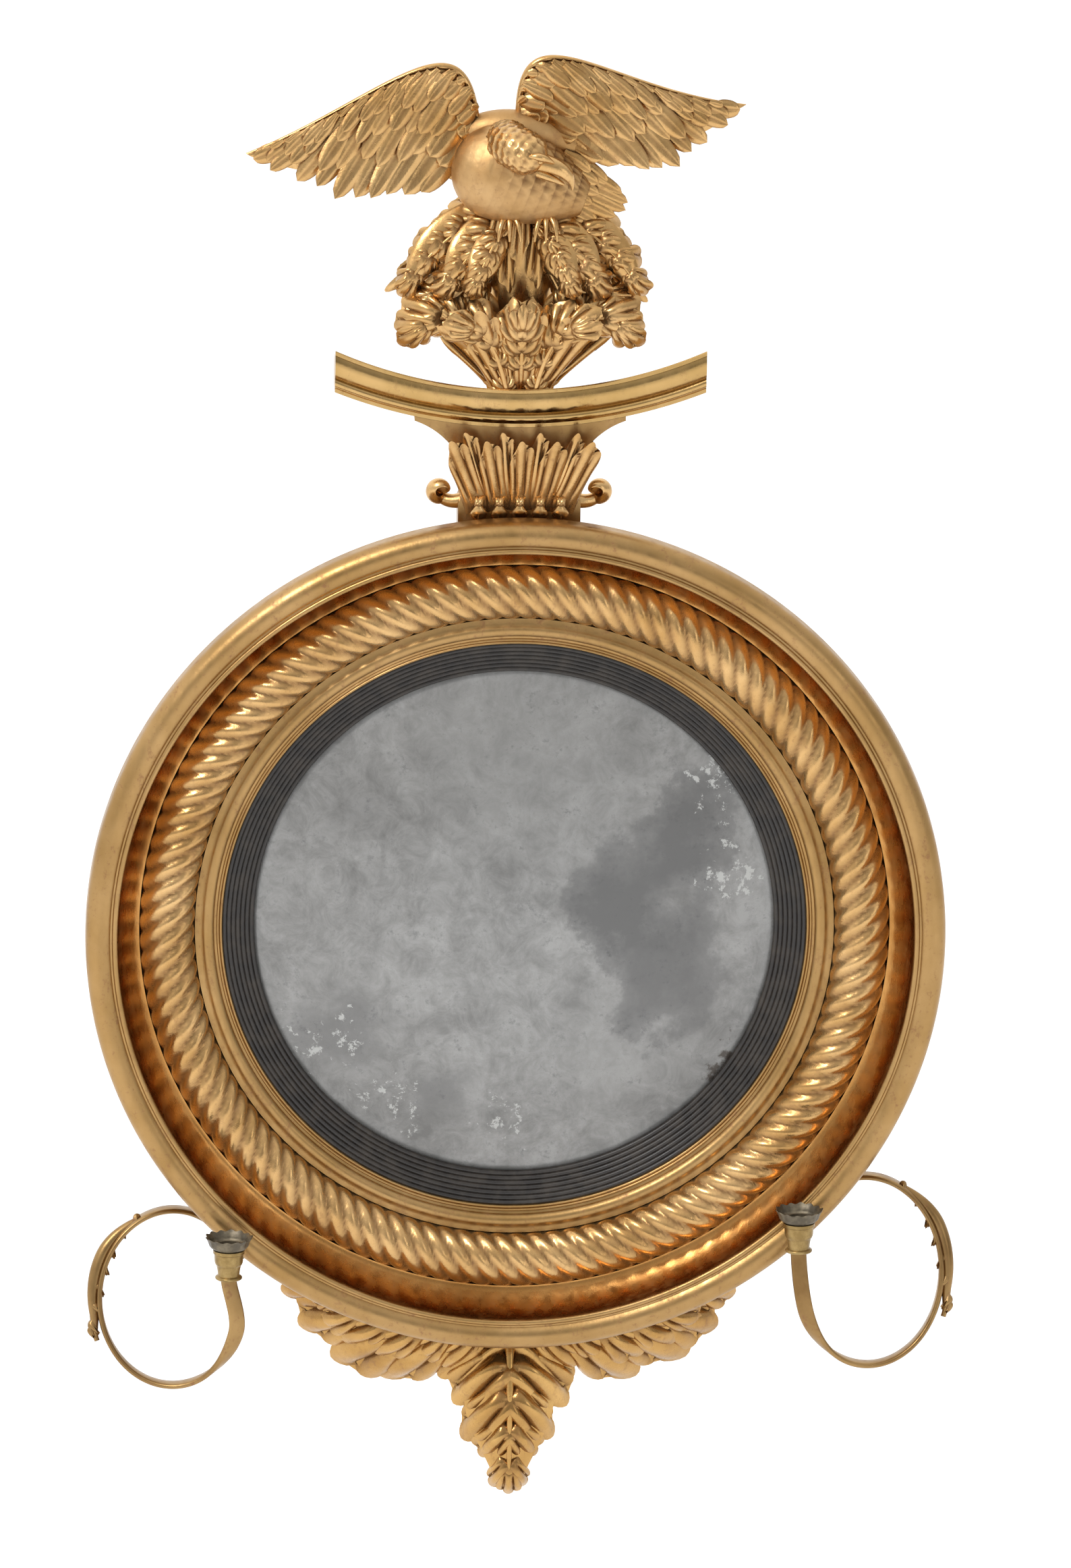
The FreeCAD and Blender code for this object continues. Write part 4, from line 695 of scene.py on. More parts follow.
def backing(spine, length, base):
    """Plain lens-shaped blade behind the lobes that fills the leaf's middle."""
    u = np.linspace(0, 0.97, 30)
    place, _, across, lift = spine_frame(spine, u)
    half = length * 0.5 * (base + (1 - base) * smooth(0, 0.4, u)) * np.sqrt(1 - 0.9 * smooth(0.5, 1.0, u))
    turn = circle(24)[None, :]
    sideways = half[:, None] * np.cos(turn)
    out = 2.2 * np.sin(turn) - 0.22 * sideways ** 2 / half[:, None]
    return place[:, None] + across[:, None] * sideways[..., None] + lift[:, None] * out[..., None]


def blade(root, tip, spread, curl, flutes, neck=0.12):
    """One long fan lobe from its root to its tip, (x, depth, height) in millimetres, that faces forward."""
    root, tip = (np.array([[x, -depth, height]], float) for x, depth, height in (root, tip))
    forward = unit(tip - root)
    outward = unit(np.array([FORWARD]) + forward * forward[:, 1:2])
    length = np.linalg.norm(tip - root, axis=-1)
    return fan_lobes(root, forward, np.cross(forward, outward), outward, length, spread, curl, flutes,
                     thickness=5.0, seed=0, neck=neck, arch=0.04, gouge=0.04)


def leaf_piece(name, leaves, node, blades=(), place=above, finish=CARVED):
    """One carved piece of leaves, given as (spine, lobe length, lobes, more settings), and of blades."""
    turn = np.array([1, -1, 1])
    parts = []

    def carve(points, hollow=0.0):
        parts.append(lofted(name, place(points * turn), finish, hollow))

    for spine, length, lobes, more in leaves:
        spine = [np.array(point, float) * turn for point in spine]
        carve(*acanthus(spine, length, lobes, **more))
        carve(midrib(spine, length))
        carve(backing(spine, length, more.get("base", 0.7)))
    for settings in blades:
        carve(*blade(*settings))
    settle(joined(name, parts), "frame", node)


def mirrored(points):
    return [(-x, depth, rise) for x, depth, rise in points]


LOW = {"cup": 0.25, "spread": 0.75, "flutes": 3, "base": 0.6, "peak": 0.6, "tip": 0.7, "start": 52.0}
HIGH = {"cup": 0.4, "spread": 0.80, "flutes": 3, "base": 0.8, "tip": 0.65, "start": 58.0}
CREST_TIERS = {  # leaves and blades of the left side; the right side's are their mirror images
    "lower": (
        [([(-16, 36, 40), (-40, 44, 80), (-64, 50, 92), (-84, 54, 80)], 36.0, 4, HIGH),
         ([(-16, 42, -6), (-28, 50, 60), (-74, 62, 86), (-94, 62, 50)], 42.0, 6, LOW),
         ([(-12, 48, -6), (-20, 58, 36), (-34, 68, 62), (-50, 80, 60)], 38.0, 5, dict(LOW, seed=1))],
        [((-10, 44, -8), (-50, 68, 82), 0.34, -0.35, 4), ((-14, 38, 0), (-84, 56, 84), 0.34, 0.4, 4)]),
    "upper": (
        [([(-14, 30, 154), (-50, 46, 154), (-84, 56, 126), (-102, 56, 92)], 38.0, 6, dict(HIGH, seed=2)),
         ([(-12, 38, 152), (-34, 60, 144), (-54, 68, 116), (-66, 66, 96)], 40.0, 5, dict(HIGH, seed=3)),
         ([(-12, 46, 148), (-26, 68, 138), (-38, 78, 114), (-42, 78, 98)], 30.0, 5, dict(HIGH, seed=4))],
        [((-8, 30, 164), (-116, 48, 76), 0.20, 0.3, 4), ((-8, 32, 160), (-104, 54, 100), 0.22, 0.3, 4),
         ((-6, 36, 156), (-82, 62, 84), 0.26, 0.3, 4), ((-4, 40, 156), (-56, 72, 82), 0.28, 0.3, 4)]),
}
THIGHS = (((-8, 36, 176), (-30, 60, 100), 0.22), ((10, 36, 176), (36, 58, 96), 0.22),
          ((-14, 42, 176), (-10, 66, 88), 0.20), ((18, 42, 176), (14, 66, 92), 0.20),
          ((0, 46, 176), (-2, 72, 116), 0.26), ((-16, 46, 176), (-26, 72, 122), 0.24),
          ((20, 46, 176), (30, 72, 124), 0.24))


def crest_foliage():
    """Two tiers of leaves between the platform and the eagle, a centre leaf and the thigh feathers."""
    for side, turned in (("left", list), ("right", mirrored)):
        for tier, (leaves, blades) in CREST_TIERS.items():
            leaf_piece(tier + "_leaf_" + side, [(turned(spine), *rest) for spine, *rest in leaves],
                       tier + "_" + side + "_leaf",
                       [(*turned([root, tip]), *rest) for root, tip, *rest in blades])
    leaf_piece("upright_centre_leaf", [([(0, 44, 2), (0, 60, 26), (0, 70, 54), (0, 82, 64)], 40.0, 5, LOW)],
               "centre_leaf", [((0, 46, -8), (0, 68, 92), 0.36, -0.3, 4)])
    leaf_piece("thigh_feathers", [], "upper_centre_leaf",
               [(root, tip, spread, 0.3, 3) for root, tip, spread in THIGHS])


# --- eagle ----------------------------------------------------------------------------------------
def feathers(roots, tips, widths, lifts, curl):
    """Closed blades, all at once: u runs from root to tip.

    The half width is nearly even, then rounds off on a root of 1 less a power of u. The front is arched
    across with a groove along its shaft, and the tip lifts forward by the length times the curl."""
    u = np.linspace(0, 1, 16)[None, :, None]
    v = np.concatenate([np.linspace(-1, 1, 9), np.linspace(1, -1, 5)[1:-1]])[None, None, :]
    is_front = (np.arange(v.shape[-1]) < 9)[None, None, :]
    length = np.linalg.norm(tips - roots, axis=-1)[:, None, None]
    forward = unit(tips - roots)
    across = unit(np.cross(forward, [0.0, 1.0, 0.0]))
    lift = unit(np.cross(across, forward))
    rounded = np.sqrt(np.clip(1 - (np.clip(u - 0.5, 0, 1) / 0.5) ** 2.4, 0.0004, 1))
    width = widths[:, None, None] * (0.55 + 0.45 * smooth(0, 0.5, u)) * rounded
    side = np.abs(v)
    arch = width * 0.28 * (1 - side ** 2) - width * 0.13 * np.exp(-(side / 0.18) ** 2)
    height = np.where(is_front, arch, -0.25 * widths[:, None, None] * (1 - side ** 2))
    height = height + curl * length * u ** 2.2 + lifts[:, None, None]
    points = grown(roots, (forward, length * u), (across, width * v), (lift, height))
    # Hollow share: darker along the edges and in the groove of the shaft, as dust and painted shade.
    hollow = is_front * (smooth(0.75, 1.0, side) * 0.8 + np.exp(-(side / 0.14) ** 2) * 0.5)
    return points, np.clip(hollow, 0, 1)


def wing_place(edges, t, share):
    """Point at t along a wing and at a share of the way from its leading to its trailing edge."""
    lead, trail = (bezier(edge, np.clip(t, 0, 1))[0] for edge in edges)
    return lead + (trail - lead) * np.asarray(share, float)[..., None]


def wing_row(edges, count, first, last, root_share, tip_share, drift, width, lift, seed):
    """One row of feathers: roots at one share of the wing's width, tips at another and out by the drift."""
    jitter = np.random.default_rng(seed).uniform(-1, 1, (5, count))
    t = np.clip(np.linspace(first, last, count) + 0.015 * jitter[0], 0, 1)
    tip_t = t + drift * (1 - 0.35 * t)
    roots = wing_place(edges, t, root_share)
    tips = wing_place(edges, tip_t, tip_share + 0.07 * jitter[1])
    tips = tips + unit(tips - roots) * (np.clip(tip_t - 1, 0, 1) * 40.0)[:, None]
    widths = width * (1 - 0.45 * t) * (1 + 0.12 * jitter[2])
    return feathers(roots, tips, widths, lift + 1.2 * jitter[3], (0.12 + 0.07 * jitter[4])[:, None, None])


WINGS = {  # leading and trailing edge
    "left": (((-38, 36, 236), (-50, 48, 352), (-124, 48, 262), (-243, 34, 208)),
             ((-56, 36, 174), (-104, 48, 196), (-150, 48, 164), (-236, 34, 204))),
    "right": (((-6, 36, 240), (-8, 48, 358), (76, 48, 268), (196, 34, 253)),
              ((36, 36, 212), (84, 48, 216), (124, 48, 184), (190, 34, 249))),
}
WING_ROWS = (  # count, first and last root along the wing, root and tip across it, drift, width, lift, seed
    (10, 0.06, 0.90, 0.35, 1.06, 0.18, 14.0, 1.0, 3),
    (10, 0.03, 0.86, 0.22, 0.74, 0.13, 12.5, 4.0, 4),
    (11, 0.02, 0.82, 0.10, 0.50, 0.10, 10.5, 6.5, 5),
    (13, 0.01, 0.80, 0.06, 0.32, 0.08, 8.0, 8.5, 6),
    (19, 0.00, 0.90, 0.03, 0.16, 0.05, 5.0, 8.0, 7),
)


def carved_wing(side):
    """Spread wing: a slab under five rows of feathers and a rounded leading edge."""
    edges = WINGS[side]
    parts = []
    for row in WING_ROWS:
        points, hollow = wing_row(edges, *row)
        parts.append(lofted("feather_row", above(points), CARVED, hollow))
    t = np.linspace(0, 1, 60)
    ring = circle(14)[:, None]
    forward = -np.array(FORWARD)
    lead, trail = (bezier(edge, t)[0] for edge in edges)
    chord = trail - lead
    slab = lead[:, None] + chord[:, None] * 0.45 * (1 + np.cos(ring))
    slab = slab + forward * (5.0 * (1 - 0.6 * t))[:, None, None] * np.sin(ring)
    thick = (4.2 * (1 - 0.7 * t))[:, None, None]
    bar = lead[:, None] + unit(chord)[:, None] * thick * (0.7 + np.cos(ring))
    bar = bar + forward * thick * (0.5 + np.sin(ring))
    parts += [lofted("wing_slab", above(slab), CARVED), lofted("wing_edge", above(bar), CARVED)]
    settle(joined("carved_wing_" + side, parts), "frame", side + "_wing")


def scale_relief(along, around, rows, columns):
    """Overlapping scales, every other row half a scale on: height climbs to a rounded tip, then drops."""
    row = along * rows
    column = around * columns + 0.5 * (np.floor(row) % 2)
    off = (column % 1.0 - 0.5) * 2
    level = row % 1.0 + 0.45 * off ** 2
    return np.where(level < 1.0, level, 1.0 - 2.2 * (level - 1.0)) - 0.15 * np.exp(-(off / 0.15) ** 2)


def rounded_bar(name, points, radii, corners, squash=1.0, finish=CARVED, sharp=CREASED):
    """Carved bar: round sections along a Bezier curve of four points, in millimetres over the platform."""
    path = smooth_path(points, len(radii))
    return lofted(name, above(tube(path, radii, corners, squash)), finish, sharp=sharp)


def feathered_body():
    """Egg from the breast to the tail: its radius is a quarter ellipse, then a stretched cosine.

    Rows of scale feathers cover it, deep on the back and faint on the breast and underside."""
    u = np.linspace(0.002, 0.998, 150)[:, None]
    turn = circle(160)[None, :]
    radius, breast, length, widest, flatness = 44.0, np.array([-19.0, 50.0, 196.0]), 122.0, 0.35, 0.74
    station = -radius + length * u
    shape = np.where(u < widest, np.sqrt(np.clip(1 - (1 - u / widest) ** 2, 0, 1)),
                     np.cos(np.pi / 2 * np.clip((u - widest) / 0.78, 0, 1)) ** 0.8)
    feathered = 0.12 + 0.88 * smooth(0.25, 0.55, u) * smooth(-0.5, 0.3, np.sin(turn))
    scales = scale_relief(u, turn / (2 * np.pi), 12, 20)
    swell = radius * shape + 2.6 * (scales - 0.5) * feathered * smooth(1.0, 0.9, u)
    tilt = math.radians(19.0)
    axis = np.array([math.cos(tilt), 0.0, -math.sin(tilt)])
    upright = np.array([math.sin(tilt), 0.0, math.cos(tilt)])
    points = breast + axis * station[..., None] + upright * (swell * np.sin(turn))[..., None]
    points = points + np.array([0, flatness, 0]) * (swell * np.cos(turn))[..., None]
    # Darker between the scales where the body is feathered: dust and painted shade.
    dust_and_shade = np.clip(1 - scales * 1.6, 0, 1) * feathered
    body = lofted("feathered_body", above(points), BREAST, dust_and_shade, SOFT)
    shoulders = rounded_bar("shoulders", [(-52, 36, 226), (-26, 42, 240), (10, 42, 238), (48, 36, 214)],
                            15.0 - 4.0 * np.linspace(-1, 1, 40) ** 2, 28, finish=BREAST, sharp=SOFT)
    settle(joined("feathered_body", [body, shoulders]), "frame", "eagle_body")


def bowed_head():
    """Neck and skull with small feathers, a brow, an eye and a hooked beak turned down to the right."""
    u = np.linspace(0, 1, 60)
    path = smooth_path([(-14, 54, 222), (-16, 74, 228), (-4, 90, 228), (16, 92, 213)], 60)
    radii = 21.0 - 5.0 * u + 1.8 * np.exp(-((u - 0.72) / 0.16) ** 2)
    radii = radii * np.sqrt(np.clip(1 - np.clip((u - 0.8) / 0.2, 0, 1) ** 2.4, 0.003, 1))
    skull = tube(path, radii, 72)
    scales = scale_relief(u[:, None], circle(72) / (2 * np.pi), 10, 14)
    centre = path[:, None]
    swell = 1 + 0.10 * (scales - 0.4) * smooth(0.98, 0.85, u[:, None])
    skull = centre + (skull - centre) * swell[..., None]
    share = np.linspace(0, 1, 30)
    parts = [
        # The skull darkens between its small feathers: dust and painted shade.
        lofted("skull", above(skull), CARVED, np.clip(1 - 1.6 * scales, 0, 1) * 0.9, SOFT),
        rounded_bar("beak", [(12, 92, 216), (30, 99, 214), (42, 97, 206), (42, 92, 190)],
                    np.interp(share, [0, 0.35, 0.7, 1], [8.6, 7.0, 4.6, 0.5]), 20, 0.8),
        rounded_bar("jaw", [(12, 92, 206), (22, 97, 203), (30, 96, 199), (34, 94, 196)],
                    np.linspace(4.8, 1.4, 16), 14),
        rounded_bar("brow", [(2, 105, 224), (10, 109, 226), (18, 106, 223), (25, 101, 217)],
                    3.4 * np.sin(np.linspace(0.15, np.pi - 0.15, 20)) + 0.3, 12),
        rounded_bar("eye", [(13, 100, 219), (13, 102, 219), (13, 104, 219), (13, 106, 219)],
                    3.3 * np.sqrt(1 - np.linspace(0, 0.995, 12) ** 2), 16)]
    settle(joined("bowed_head", parts), "frame", "eagle_head")


def carved_tail():
    """Fan of tail feathers under a shorter row of coverts: the tips lie on a quadratic Bezier curve."""
    top, bottom = np.array([36.0, 46.0, 215.0]), np.array([22.0, 46.0, 172.0])
    near, far, low = np.array([[72.0, 46.0, 186.0], [118.0, 45.0, 160.0], [62.0, 46.0, 148.0]])
    parts = []
    for count, length, width, lift in ((6, 1.0, 8.0, 0.0), (5, 0.6, 7.0, 4.0)):
        share = np.linspace(0.04, 0.96, count)[:, None]
        roots = top + (bottom - top) * share
        tips = near * (1 - share) ** 2 + far * 2 * share * (1 - share) + low * share ** 2
        tips = roots + (tips - roots) * length
        points, hollow = feathers(roots, tips, np.full(count, width), np.full(count, lift), 0.03)
        parts.append(lofted("tail_row", above(points), CARVED, hollow))
    settle(joined("carved_tail", parts), "frame", "eagle_tail")


def carved_feet():
    """Feathered shins over three toes and claws each."""
    parts = []
    for x in (-12.0, 20.0):
        parts.append(rounded_bar("shin", [(x - 4, 42, 190), (x - 2, 46, 178), (x, 50, 168), (x, 54, 158)],
                                 np.linspace(10.0, 5.0, 24), 24))
        for spread in (-9.0, 0.0, 9.0):
            toe = [(x + spread * share, depth, rise) for share, depth, rise in
                   ((0, 52, 160), (0.6, 64, 160), (1, 72, 152), (1.1, 72, 138))]
            parts.append(rounded_bar("toe", toe, np.linspace(4.4, 1.0, 24), 14))
    settle(joined("carved_feet", parts), "frame", "eagle_feet")


# --- bracket and platform -------------------------------------------------------------------------
def bent_platform():
    """Moulded shelf: each point of its profile goes along a circle about the bend's centre."""
    deep, rear = front("platform"), back("platform")
    height, bead = 0.037, 0.0032
    profile = outline((deep - 0.001, 0), (deep, 0.001), (deep, 0.0036), (deep - 0.0020, 0.0042),
                      ((deep - 0.0006, 0.0135), (deep - 0.0062, 0.0240)), (deep - 0.0072, 0.0250),
                      ((deep - 0.0056, 0.0278), (deep - 0.0075, height - bead - 0.002)),
                      (deep - 0.010, height - bead), (deep - 0.010, height), (rear, height), (rear, 0.017))
    x = np.linspace(-PLATFORM_HALF, PLATFORM_HALF, 121)[:, None]
    depth, radius = profile[:, 0], PLATFORM_BEND + profile[:, 1]
    rise = PLATFORM_TOP + PLATFORM_BEND - np.sqrt(radius ** 2 - x ** 2)
    points = np.stack(np.broadcast_arrays(x, -depth, rise), -1)
    shelf = lofted("bent_platform", points, BURNISHED, sharp=TURNED)
    settle(shelf, "frame", "platform")


def bracket_carving():
    """Upright fluted leaves that touch one another over the bracket's front, each over a rounded bud."""
    front_row = [((36.0 * s, 50, -112), (65.0 * s, 57, -38), 0.27, -0.5, 3, 0.15)
                 for s in (-1.0, -0.5, 0.0, 0.5, 1.0)]
    rear_row = [((38.0 * s, 47, -112), (68.0 * s, 52, -34), 0.24, -0.4, 3, 0.15)
                for s in (-0.75, -0.25, 0.25, 0.75)]
    bud = {"cup": 1.0, "start": 40.0, "flutes": 2, "base": 0.9, "tip": 0.9, "spread": 0.8}
    buds = [([(x, 44, -120), (x, 58, -120), (x, 62, -112), (x, 58, -104)], 15.0, 2, bud)
            for x in (-36.0, -18.0, 0.0, 18.0, 36.0)]
    leaf_piece("bracket_carving", buds, "bracket_leaves", front_row + rear_row)


def curled_scroll(side, sign):
    """Bud on a stem: a tube that runs out from the bracket's foot, swells and curls up over itself."""
    low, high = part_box(side + "_scroll")
    middle = np.array([(low.x + high.x) / 2, 0, (low.z + high.z) / 2])
    turn = np.linspace(0, 1, 50)
    angle = np.radians(-95.0 + 250.0 * turn)
    stem_radius, neck_radius, swelling = 0.0072, 0.0056, 0.0030
    away = stem_radius * (1 - 0.75 * turn)
    curl = np.stack([middle[0] + sign * away * np.cos(angle), -0.034 - 0.010 * turn,
                     middle[2] - 0.001 + away * np.sin(angle)], -1)
    stem = smooth_path([(sign * 0.044, -0.036, 0.390), (sign * 0.054, -0.038, 0.3865),
                        (sign * 0.062, -0.036, 0.386), curl[0]], 16)[:-1]
    radii = np.concatenate([np.linspace(stem_radius, neck_radius, 15),
                            neck_radius + swelling * np.sin(np.pi * turn) ** 0.7])
    radii[-6:] *= np.sqrt(1 - np.linspace(0, 0.97, 6) ** 2)
    scroll = lofted("curled_scroll_" + side, tube(np.concatenate([stem, curl]), radii, 24), CARVED)
    settle(scroll, "frame", side + "_scroll")


# --- apron ----------------------------------------------------------------------------------------
def rim_spine(sign, start, end, radius, depths):
    """Spine along the frame between two turns from straight down, at a radius and four depths."""
    turns = np.radians(np.linspace(start, end, 4))
    bulge = radius * np.array([1.0, 1.015, 1.015, 1.0])
    return [(sign * r * math.sin(turn), depth, -r * math.cos(turn))
            for r, turn, depth in zip(bulge, turns, depths)]


def hanging_leaf():
    """Centre leaf of the apron, on a spine that swells forward and turns back at its tip."""
    more = {"cup": 0.25, "peak": 0.1, "base": 0.95, "start": 66.0, "end": 26.0, "thickness": 8.0,
            "tip": 0.42, "spread": 0.62, "curl": 0.6, "flutes": 3}
    spine = [(0, 22, -372), (0, 50, -410), (0, 62, -454), (0, 46, -518)]
    leaf_piece("apron_leaf", [(spine, 80.0, 5, more)], "apron_centre_leaf", place=below, finish=APRON_SHADED_GILDING)


def apron_spray(side, sign):
    """Half leaf along the rim under a row of smaller lobes."""
    more = {"sides": (sign,), "start": 64.0, "end": 40.0, "thickness": 7.0, "cup": 0.2, "spread": 0.72,
            "curl": 0.5, "flutes": 3, "peak": 0.5, "tip": 0.40}
    long = rim_spine(sign, 2.0, 29.5, 372.0, (26, 40, 38, 26))
    short = rim_spine(sign, 4.0, 28.0, 376.0, (38, 56, 54, 38))
    leaf_piece("apron_spray_" + side,
               [(long, 92.0, 5, dict(more, base=0.78)), (short, 52.0, 6, dict(more, base=0.8, seed=2))],
               "apron_" + side + "_spray", place=below, finish=APRON_SHADED_GILDING)


# --- candle arms ----------------------------------------------------------------------------------
ARMS = {
    "left": {"side": -1, "middle": 0.3042, "half": 0.061, "centre": -0.3349, "rise": 0.073, "out": 0.2522,
             "foot": -0.3040},
    "right": {"side": 1, "middle": 0.3184, "half": 0.0625, "centre": -0.3100, "rise": 0.079, "out": 0.2519,
              "foot": -0.2790},
}
CANDLE_DEPTH, START_DEPTH = 0.117, 0.027
LOOP_START, LOOP_TURN = 135.0, 300.0  # degrees
STRIP_HALF, KNUCKLE_HEIGHT, PAN_SEAT = 0.0021, 0.012, 0.0273


def candle_foot(arm):
    """Foot of the candle cup, on the end of the arm."""
    return np.array([arm["side"] * arm["out"], -CANDLE_DEPTH, arm["foot"]])


def loop_point(arm, turn, lift=0.0):
    """Point on the loop at turns in degrees: an ellipse that comes forward as it goes round."""
    share = np.clip((LOOP_START - turn) / LOOP_TURN, 0, 1)
    depth = START_DEPTH + (CANDLE_DEPTH - START_DEPTH) * share ** 0.85
    angle = np.radians(turn)
    out = arm["middle"] + (arm["half"] + lift) * np.cos(angle)
    return np.stack([arm["side"] * out, -depth, arm["centre"] + (arm["rise"] + lift) * np.sin(angle)], -1)


def squared(wave, power):
    """A sine or cosine with its size raised to a power below 1, which makes a round section boxy."""
    return np.sign(wave) * np.abs(wave) ** power


def bent_strip(name, arm):
    """Strip with rounded edges along the loop: its width turns from front-to-back to sideways."""
    low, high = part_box(name + "_pivot_pin")
    knuckle_height = arm["centre"] + 0.48 * arm["rise"] + 0.0063
    pivot = np.array([(low.x + high.x) / 2, (low.y + high.y) / 2, knuckle_height])
    loop = loop_point(arm, np.linspace(LOOP_START, LOOP_START - LOOP_TURN, 140))
    foot = candle_foot(arm)
    lead_in = pivot + (loop[0] - pivot) * smooth(0, 1, np.linspace(0, 1, 14)[:-1])[:, None]
    onward = loop[-1] + (loop[-1] - loop[-2]) * 6
    rise_up = smooth_path([loop[-1], onward, foot - [0, 0, 0.010], foot], 16)[1:]
    path = np.concatenate([lead_in, loop, rise_up])
    along = unit(np.gradient(path, axis=0))
    share = np.linspace(0, 1, len(path))
    twist = smooth(0.72, 0.97, share)[:, None]
    wide = np.concatenate([twist * arm["side"], -(1 - twist), 0 * twist], -1)
    across = unit(wide - along * (wide * along).sum(-1, keepdims=True))
    half = np.interp(share, [0, 0.05, 0.12, 1], [0.0046, 0.0075, 0.008, 0.007])
    corner = circle(20)[None, :]
    sideways = half[:, None] * squared(np.cos(corner), 0.35)
    proud = STRIP_HALF * (squared(np.sin(corner), 0.55) * (1 - 0.25 * np.cos(2 * corner)))
    rings = path[:, None] + across[:, None] * sideways[..., None]
    rings = rings + np.cross(along, across)[:, None] * proud[..., None]
    ring = outline((0.0031, 0.0), (0.0068, 0.0), ((0.0073, KNUCKLE_HEIGHT / 2), (0.0068, KNUCKLE_HEIGHT)),
                   (0.0031, KNUCKLE_HEIGHT))
    parts = [lofted(name + "_strip", rings, GILT_IRON, sharp=50.0),
             turned_upright(name + "_knuckle", pivot - [0, 0, KNUCKLE_HEIGHT / 2], ring, GILT_IRON, 40)]
    settle(joined("bent_arm_" + name, parts), name + "_arm", name + "_arm_scroll")


def arm_leaves(name, arm):
    """Leaf folded round the outside of the loop, with its tip turned out."""
    spine = [loop_point(arm, np.array(turn), lift) / MM for turn, lift in
             ((70.0, 0.0030), (38.0, 0.0100), (2.0, 0.0080), (-26.0, 0.0150))]
    points, hollow = acanthus(spine, 15.0, 7, facing=(arm["side"], 0, 0.25), cup=0.25, start=34.0,
                              thickness=5.0, base=0.6, peak=0.5, tip=0.9, flutes=2)
    share = np.linspace(0, 1, 40)
    core = loop_point(arm, np.linspace(64.0, -27.0, 40),
                      0.0008 + 0.0048 * smooth(0.0, 0.4, share) + 0.004 * smooth(0.8, 1.0, share))
    thick = 0.0024 + 0.0034 * np.sin(np.pi * np.clip(share * 1.05, 0, 1)) ** 0.7
    parts = [lofted("lobes", points * MM, GILT_IRON, hollow),
             lofted("core", tube(core, thick, 20), GILT_IRON)]
    settle(joined("wrapped_leaf_" + name, parts), name + "_arm", name + "_arm_leaf")


def ruffle(turn, radius, height):
    """Wave round the pan's edge that grows with the radius, out and up together."""
    share = smooth(0.0150, 0.0215, radius)
    wave = np.sin(14 * turn) * 0.6 + np.sin(5 * turn + 1.3) * 0.25
    return radius * (1 - 0.05 * share * (1 - wave)), height + 0.0011 * share * (wave - 0.7)


def cup_and_pan(name, arm):
    """Turned cup with rings round a waist, and a loose pan with a ruffled edge."""
    foot = candle_foot(arm)
    profile = outline((0.0001, 0), (0.0112, 0), ((0.0120, 0.0012), (0.0112, 0.0026)), (0.0096, 0.0034),
                      ((0.0100, 0.008), (0.0110, 0.0126)), ((0.0120, 0.0142), (0.0126, 0.0165)),
                      ((0.0128, 0.020), (0.0130, 0.0232)), (0.0140, 0.0240), (0.0140, 0.0268),
                      (0.0114, 0.0268), (0.0114, 0.0162), (0.0001, 0.0162))
    cup = turned_upright("turned_cup_" + name, foot, profile, BRASS)
    settle(cup, name + "_arm", name + "_candle_cup")
    profile = outline((0.010, -0.010), (0.0112, -0.010), (0.0112, 0), ((0.0150, 0.0012), (0.0186, 0.0062)),
                      ((0.0200, 0.0092), (0.0212, 0.0112)), ((0.0216, 0.0118), (0.0209, 0.0117)),
                      ((0.0190, 0.0094), (0.0172, 0.0062)), ((0.0150, 0.0030), (0.0118, 0.0020)),
                      (0.0114, 0.0044), (0.010, 0.0044))
    pan = turned_upright("ruffled_pan_" + name, foot + [0, 0, PAN_SEAT], profile, BRONZE, 168, ruffle)
    settle(pan, name + "_pan", name + "_drip_pan")


# --- the whole ------------------------------------------------------------------------------------
KEPT_NODES = {
    PINE: ("carcass_ring", "glass_blocks", "apron_batten"),
    BOARD: ("backboard",),
    IRON: ("crest_strap", "ring_staple", "hanging_ring", "left_arm_eye", "right_arm_eye"),
    STEEL: ("backboard_screws", "strap_screws", "apron_screws", "left_pivot_pin", "right_pivot_pin"),
    MOULDED: ("platform_bracket",),
    CARVED: ("foliage_core",),
}


def paint_frame_nodes():
    """Finishes of the nodes that stay as the frame has them."""
    for finish, nodes in KEPT_NODES.items():
        for node in nodes:
            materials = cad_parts[node].data.materials
            materials.clear()
            materials.append(finish)


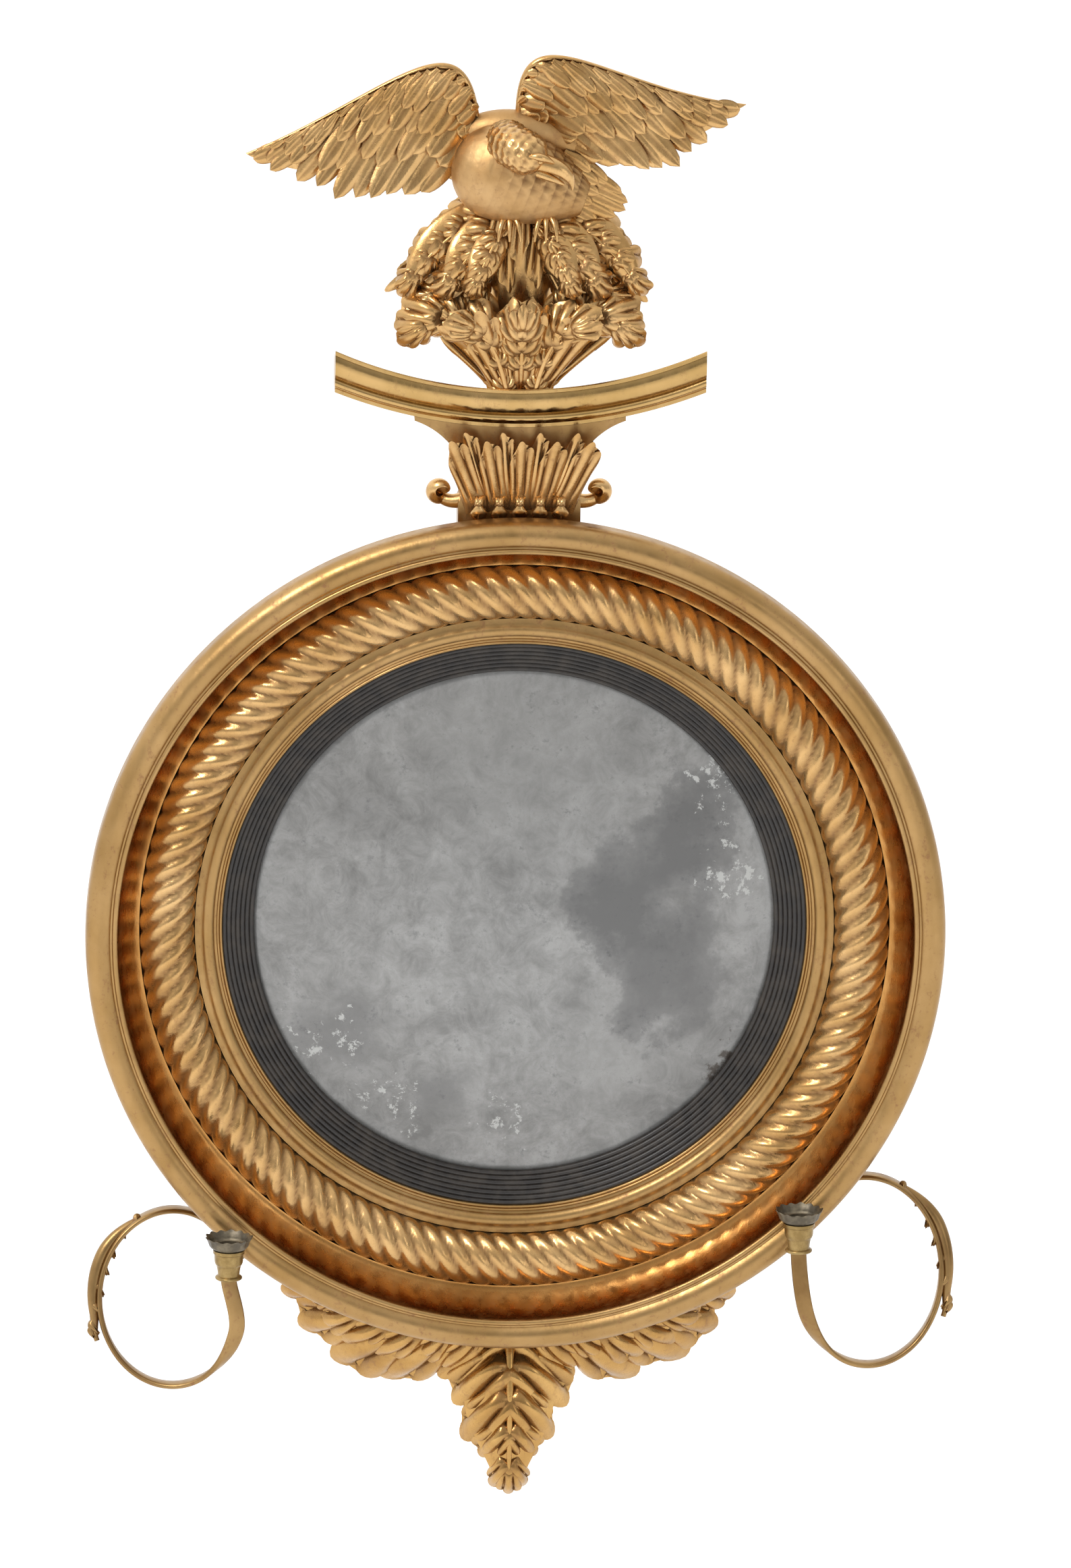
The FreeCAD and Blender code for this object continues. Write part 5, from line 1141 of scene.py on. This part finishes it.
def stage():
    """Pale floor, a white room that is darker in front, a key light from upper left and a soft fill."""
    half, height = 30.0, -0.72
    corners = np.array([(-half, -half, height), (half, -half, height), (half, half, height),
                        (-half, half, height)])
    paper = Paint("pale_floor").finish(Base_Color=(0.95, 0.95, 0.955), Roughness=0.9)
    no_triangles = np.zeros((0, 3), int)
    floor = build_mesh("floor", corners, np.array([[0, 1, 2, 3]]), no_triangles, paper, np.zeros(4), TURNED)
    scene = bpy.context.scene
    scene.view_settings.view_transform = "Standard"
    scene.world = bpy.data.worlds.new("studio")
    scene.world.use_nodes = True
    room = Nodes(scene.world.node_tree)
    ray = room.add("ShaderNodeTexCoord", {}, {}, "Generated")
    upward_left = {0: ray, 1: (-0.28, 0.45, 0.60)}
    towards = room.add("ShaderNodeVectorMath", {"operation": "DOT_PRODUCT"}, upward_left, "Value")
    strength = room.add("ShaderNodeMapRange", {}, {"Value": towards, "From Min": -0.6, "From Max": 0.7,
                                                   "To Min": 0.20, "To Max": 1.55})
    background = room.tree.nodes["Background"]
    room.put(background.inputs["Color"], (0.97, 0.985, 1.0))
    room.put(background.inputs["Strength"], strength)
    lamps = (("key", (-2.4, -2.6, 3.4), 1.1, 120.0), ("fill", (2.6, -3.2, 1.0), 1.6, 12.0))
    for name, place, size, power in lamps:
        light = bpy.data.lights.new(name, "AREA")
        light.size = size
        light.energy = power
        lamp = bpy.data.objects.new(name, light)
        lamp.location = place
        lamp.rotation_euler = (Vector((0, 0, 0.1)) - Vector(place)).to_track_quat("-Z", "Y").to_euler()
        scene.collection.objects.link(lamp)


def camera():
    """Very long lens, 16 degrees above and 2.3 degrees to the left, rolled a little."""
    azimuth, elevation, roll = math.radians(-2.3), math.radians(16.0), 0.0113
    distance, scale, film = 30.0, 0.597 * MM, 24.0
    width, height = 1588, 2324
    centre_x, centre_y = 760.0, 1350.8
    backward = Vector((math.sin(azimuth) * math.cos(elevation), -math.cos(azimuth) * math.cos(elevation),
                       math.sin(elevation)))
    level = Vector((math.cos(azimuth), math.sin(azimuth), 0))
    upward = backward.cross(level)
    right = level * math.cos(roll) + upward * math.sin(roll)
    up = upward * math.cos(roll) - level * math.sin(roll)
    target = right * ((width / 2 - centre_x) * scale) + up * ((centre_y - height / 2) * scale)
    data = bpy.data.cameras.new("long_lens")
    data.sensor_fit = "VERTICAL"
    data.sensor_height = film
    data.lens = film * distance / (height * scale)
    lens = bpy.data.objects.new("long_lens", data)
    basis = Matrix((right, up, backward)).transposed().to_4x4()
    basis.translation = target + backward * distance
    lens.matrix_world = basis
    bpy.context.scene.collection.objects.link(lens)
    bpy.context.scene.camera = lens


paint_frame_nodes()
carved_rope()
mouldings()
convex_glass()
feathered_body()
bowed_head()
carved_tail()
carved_feet()
crest_foliage()
bent_platform()
bracket_carving()
hanging_leaf()
for side, sides_arm in ARMS.items():
    apron_spray(side, sides_arm["side"])
for side, sides_arm in ARMS.items():
    carved_wing(side)
    curled_scroll(side, sides_arm["side"])
    bent_strip(side, sides_arm)
    arm_leaves(side, sides_arm)
    cup_and_pan(side, sides_arm)
stage()
camera()
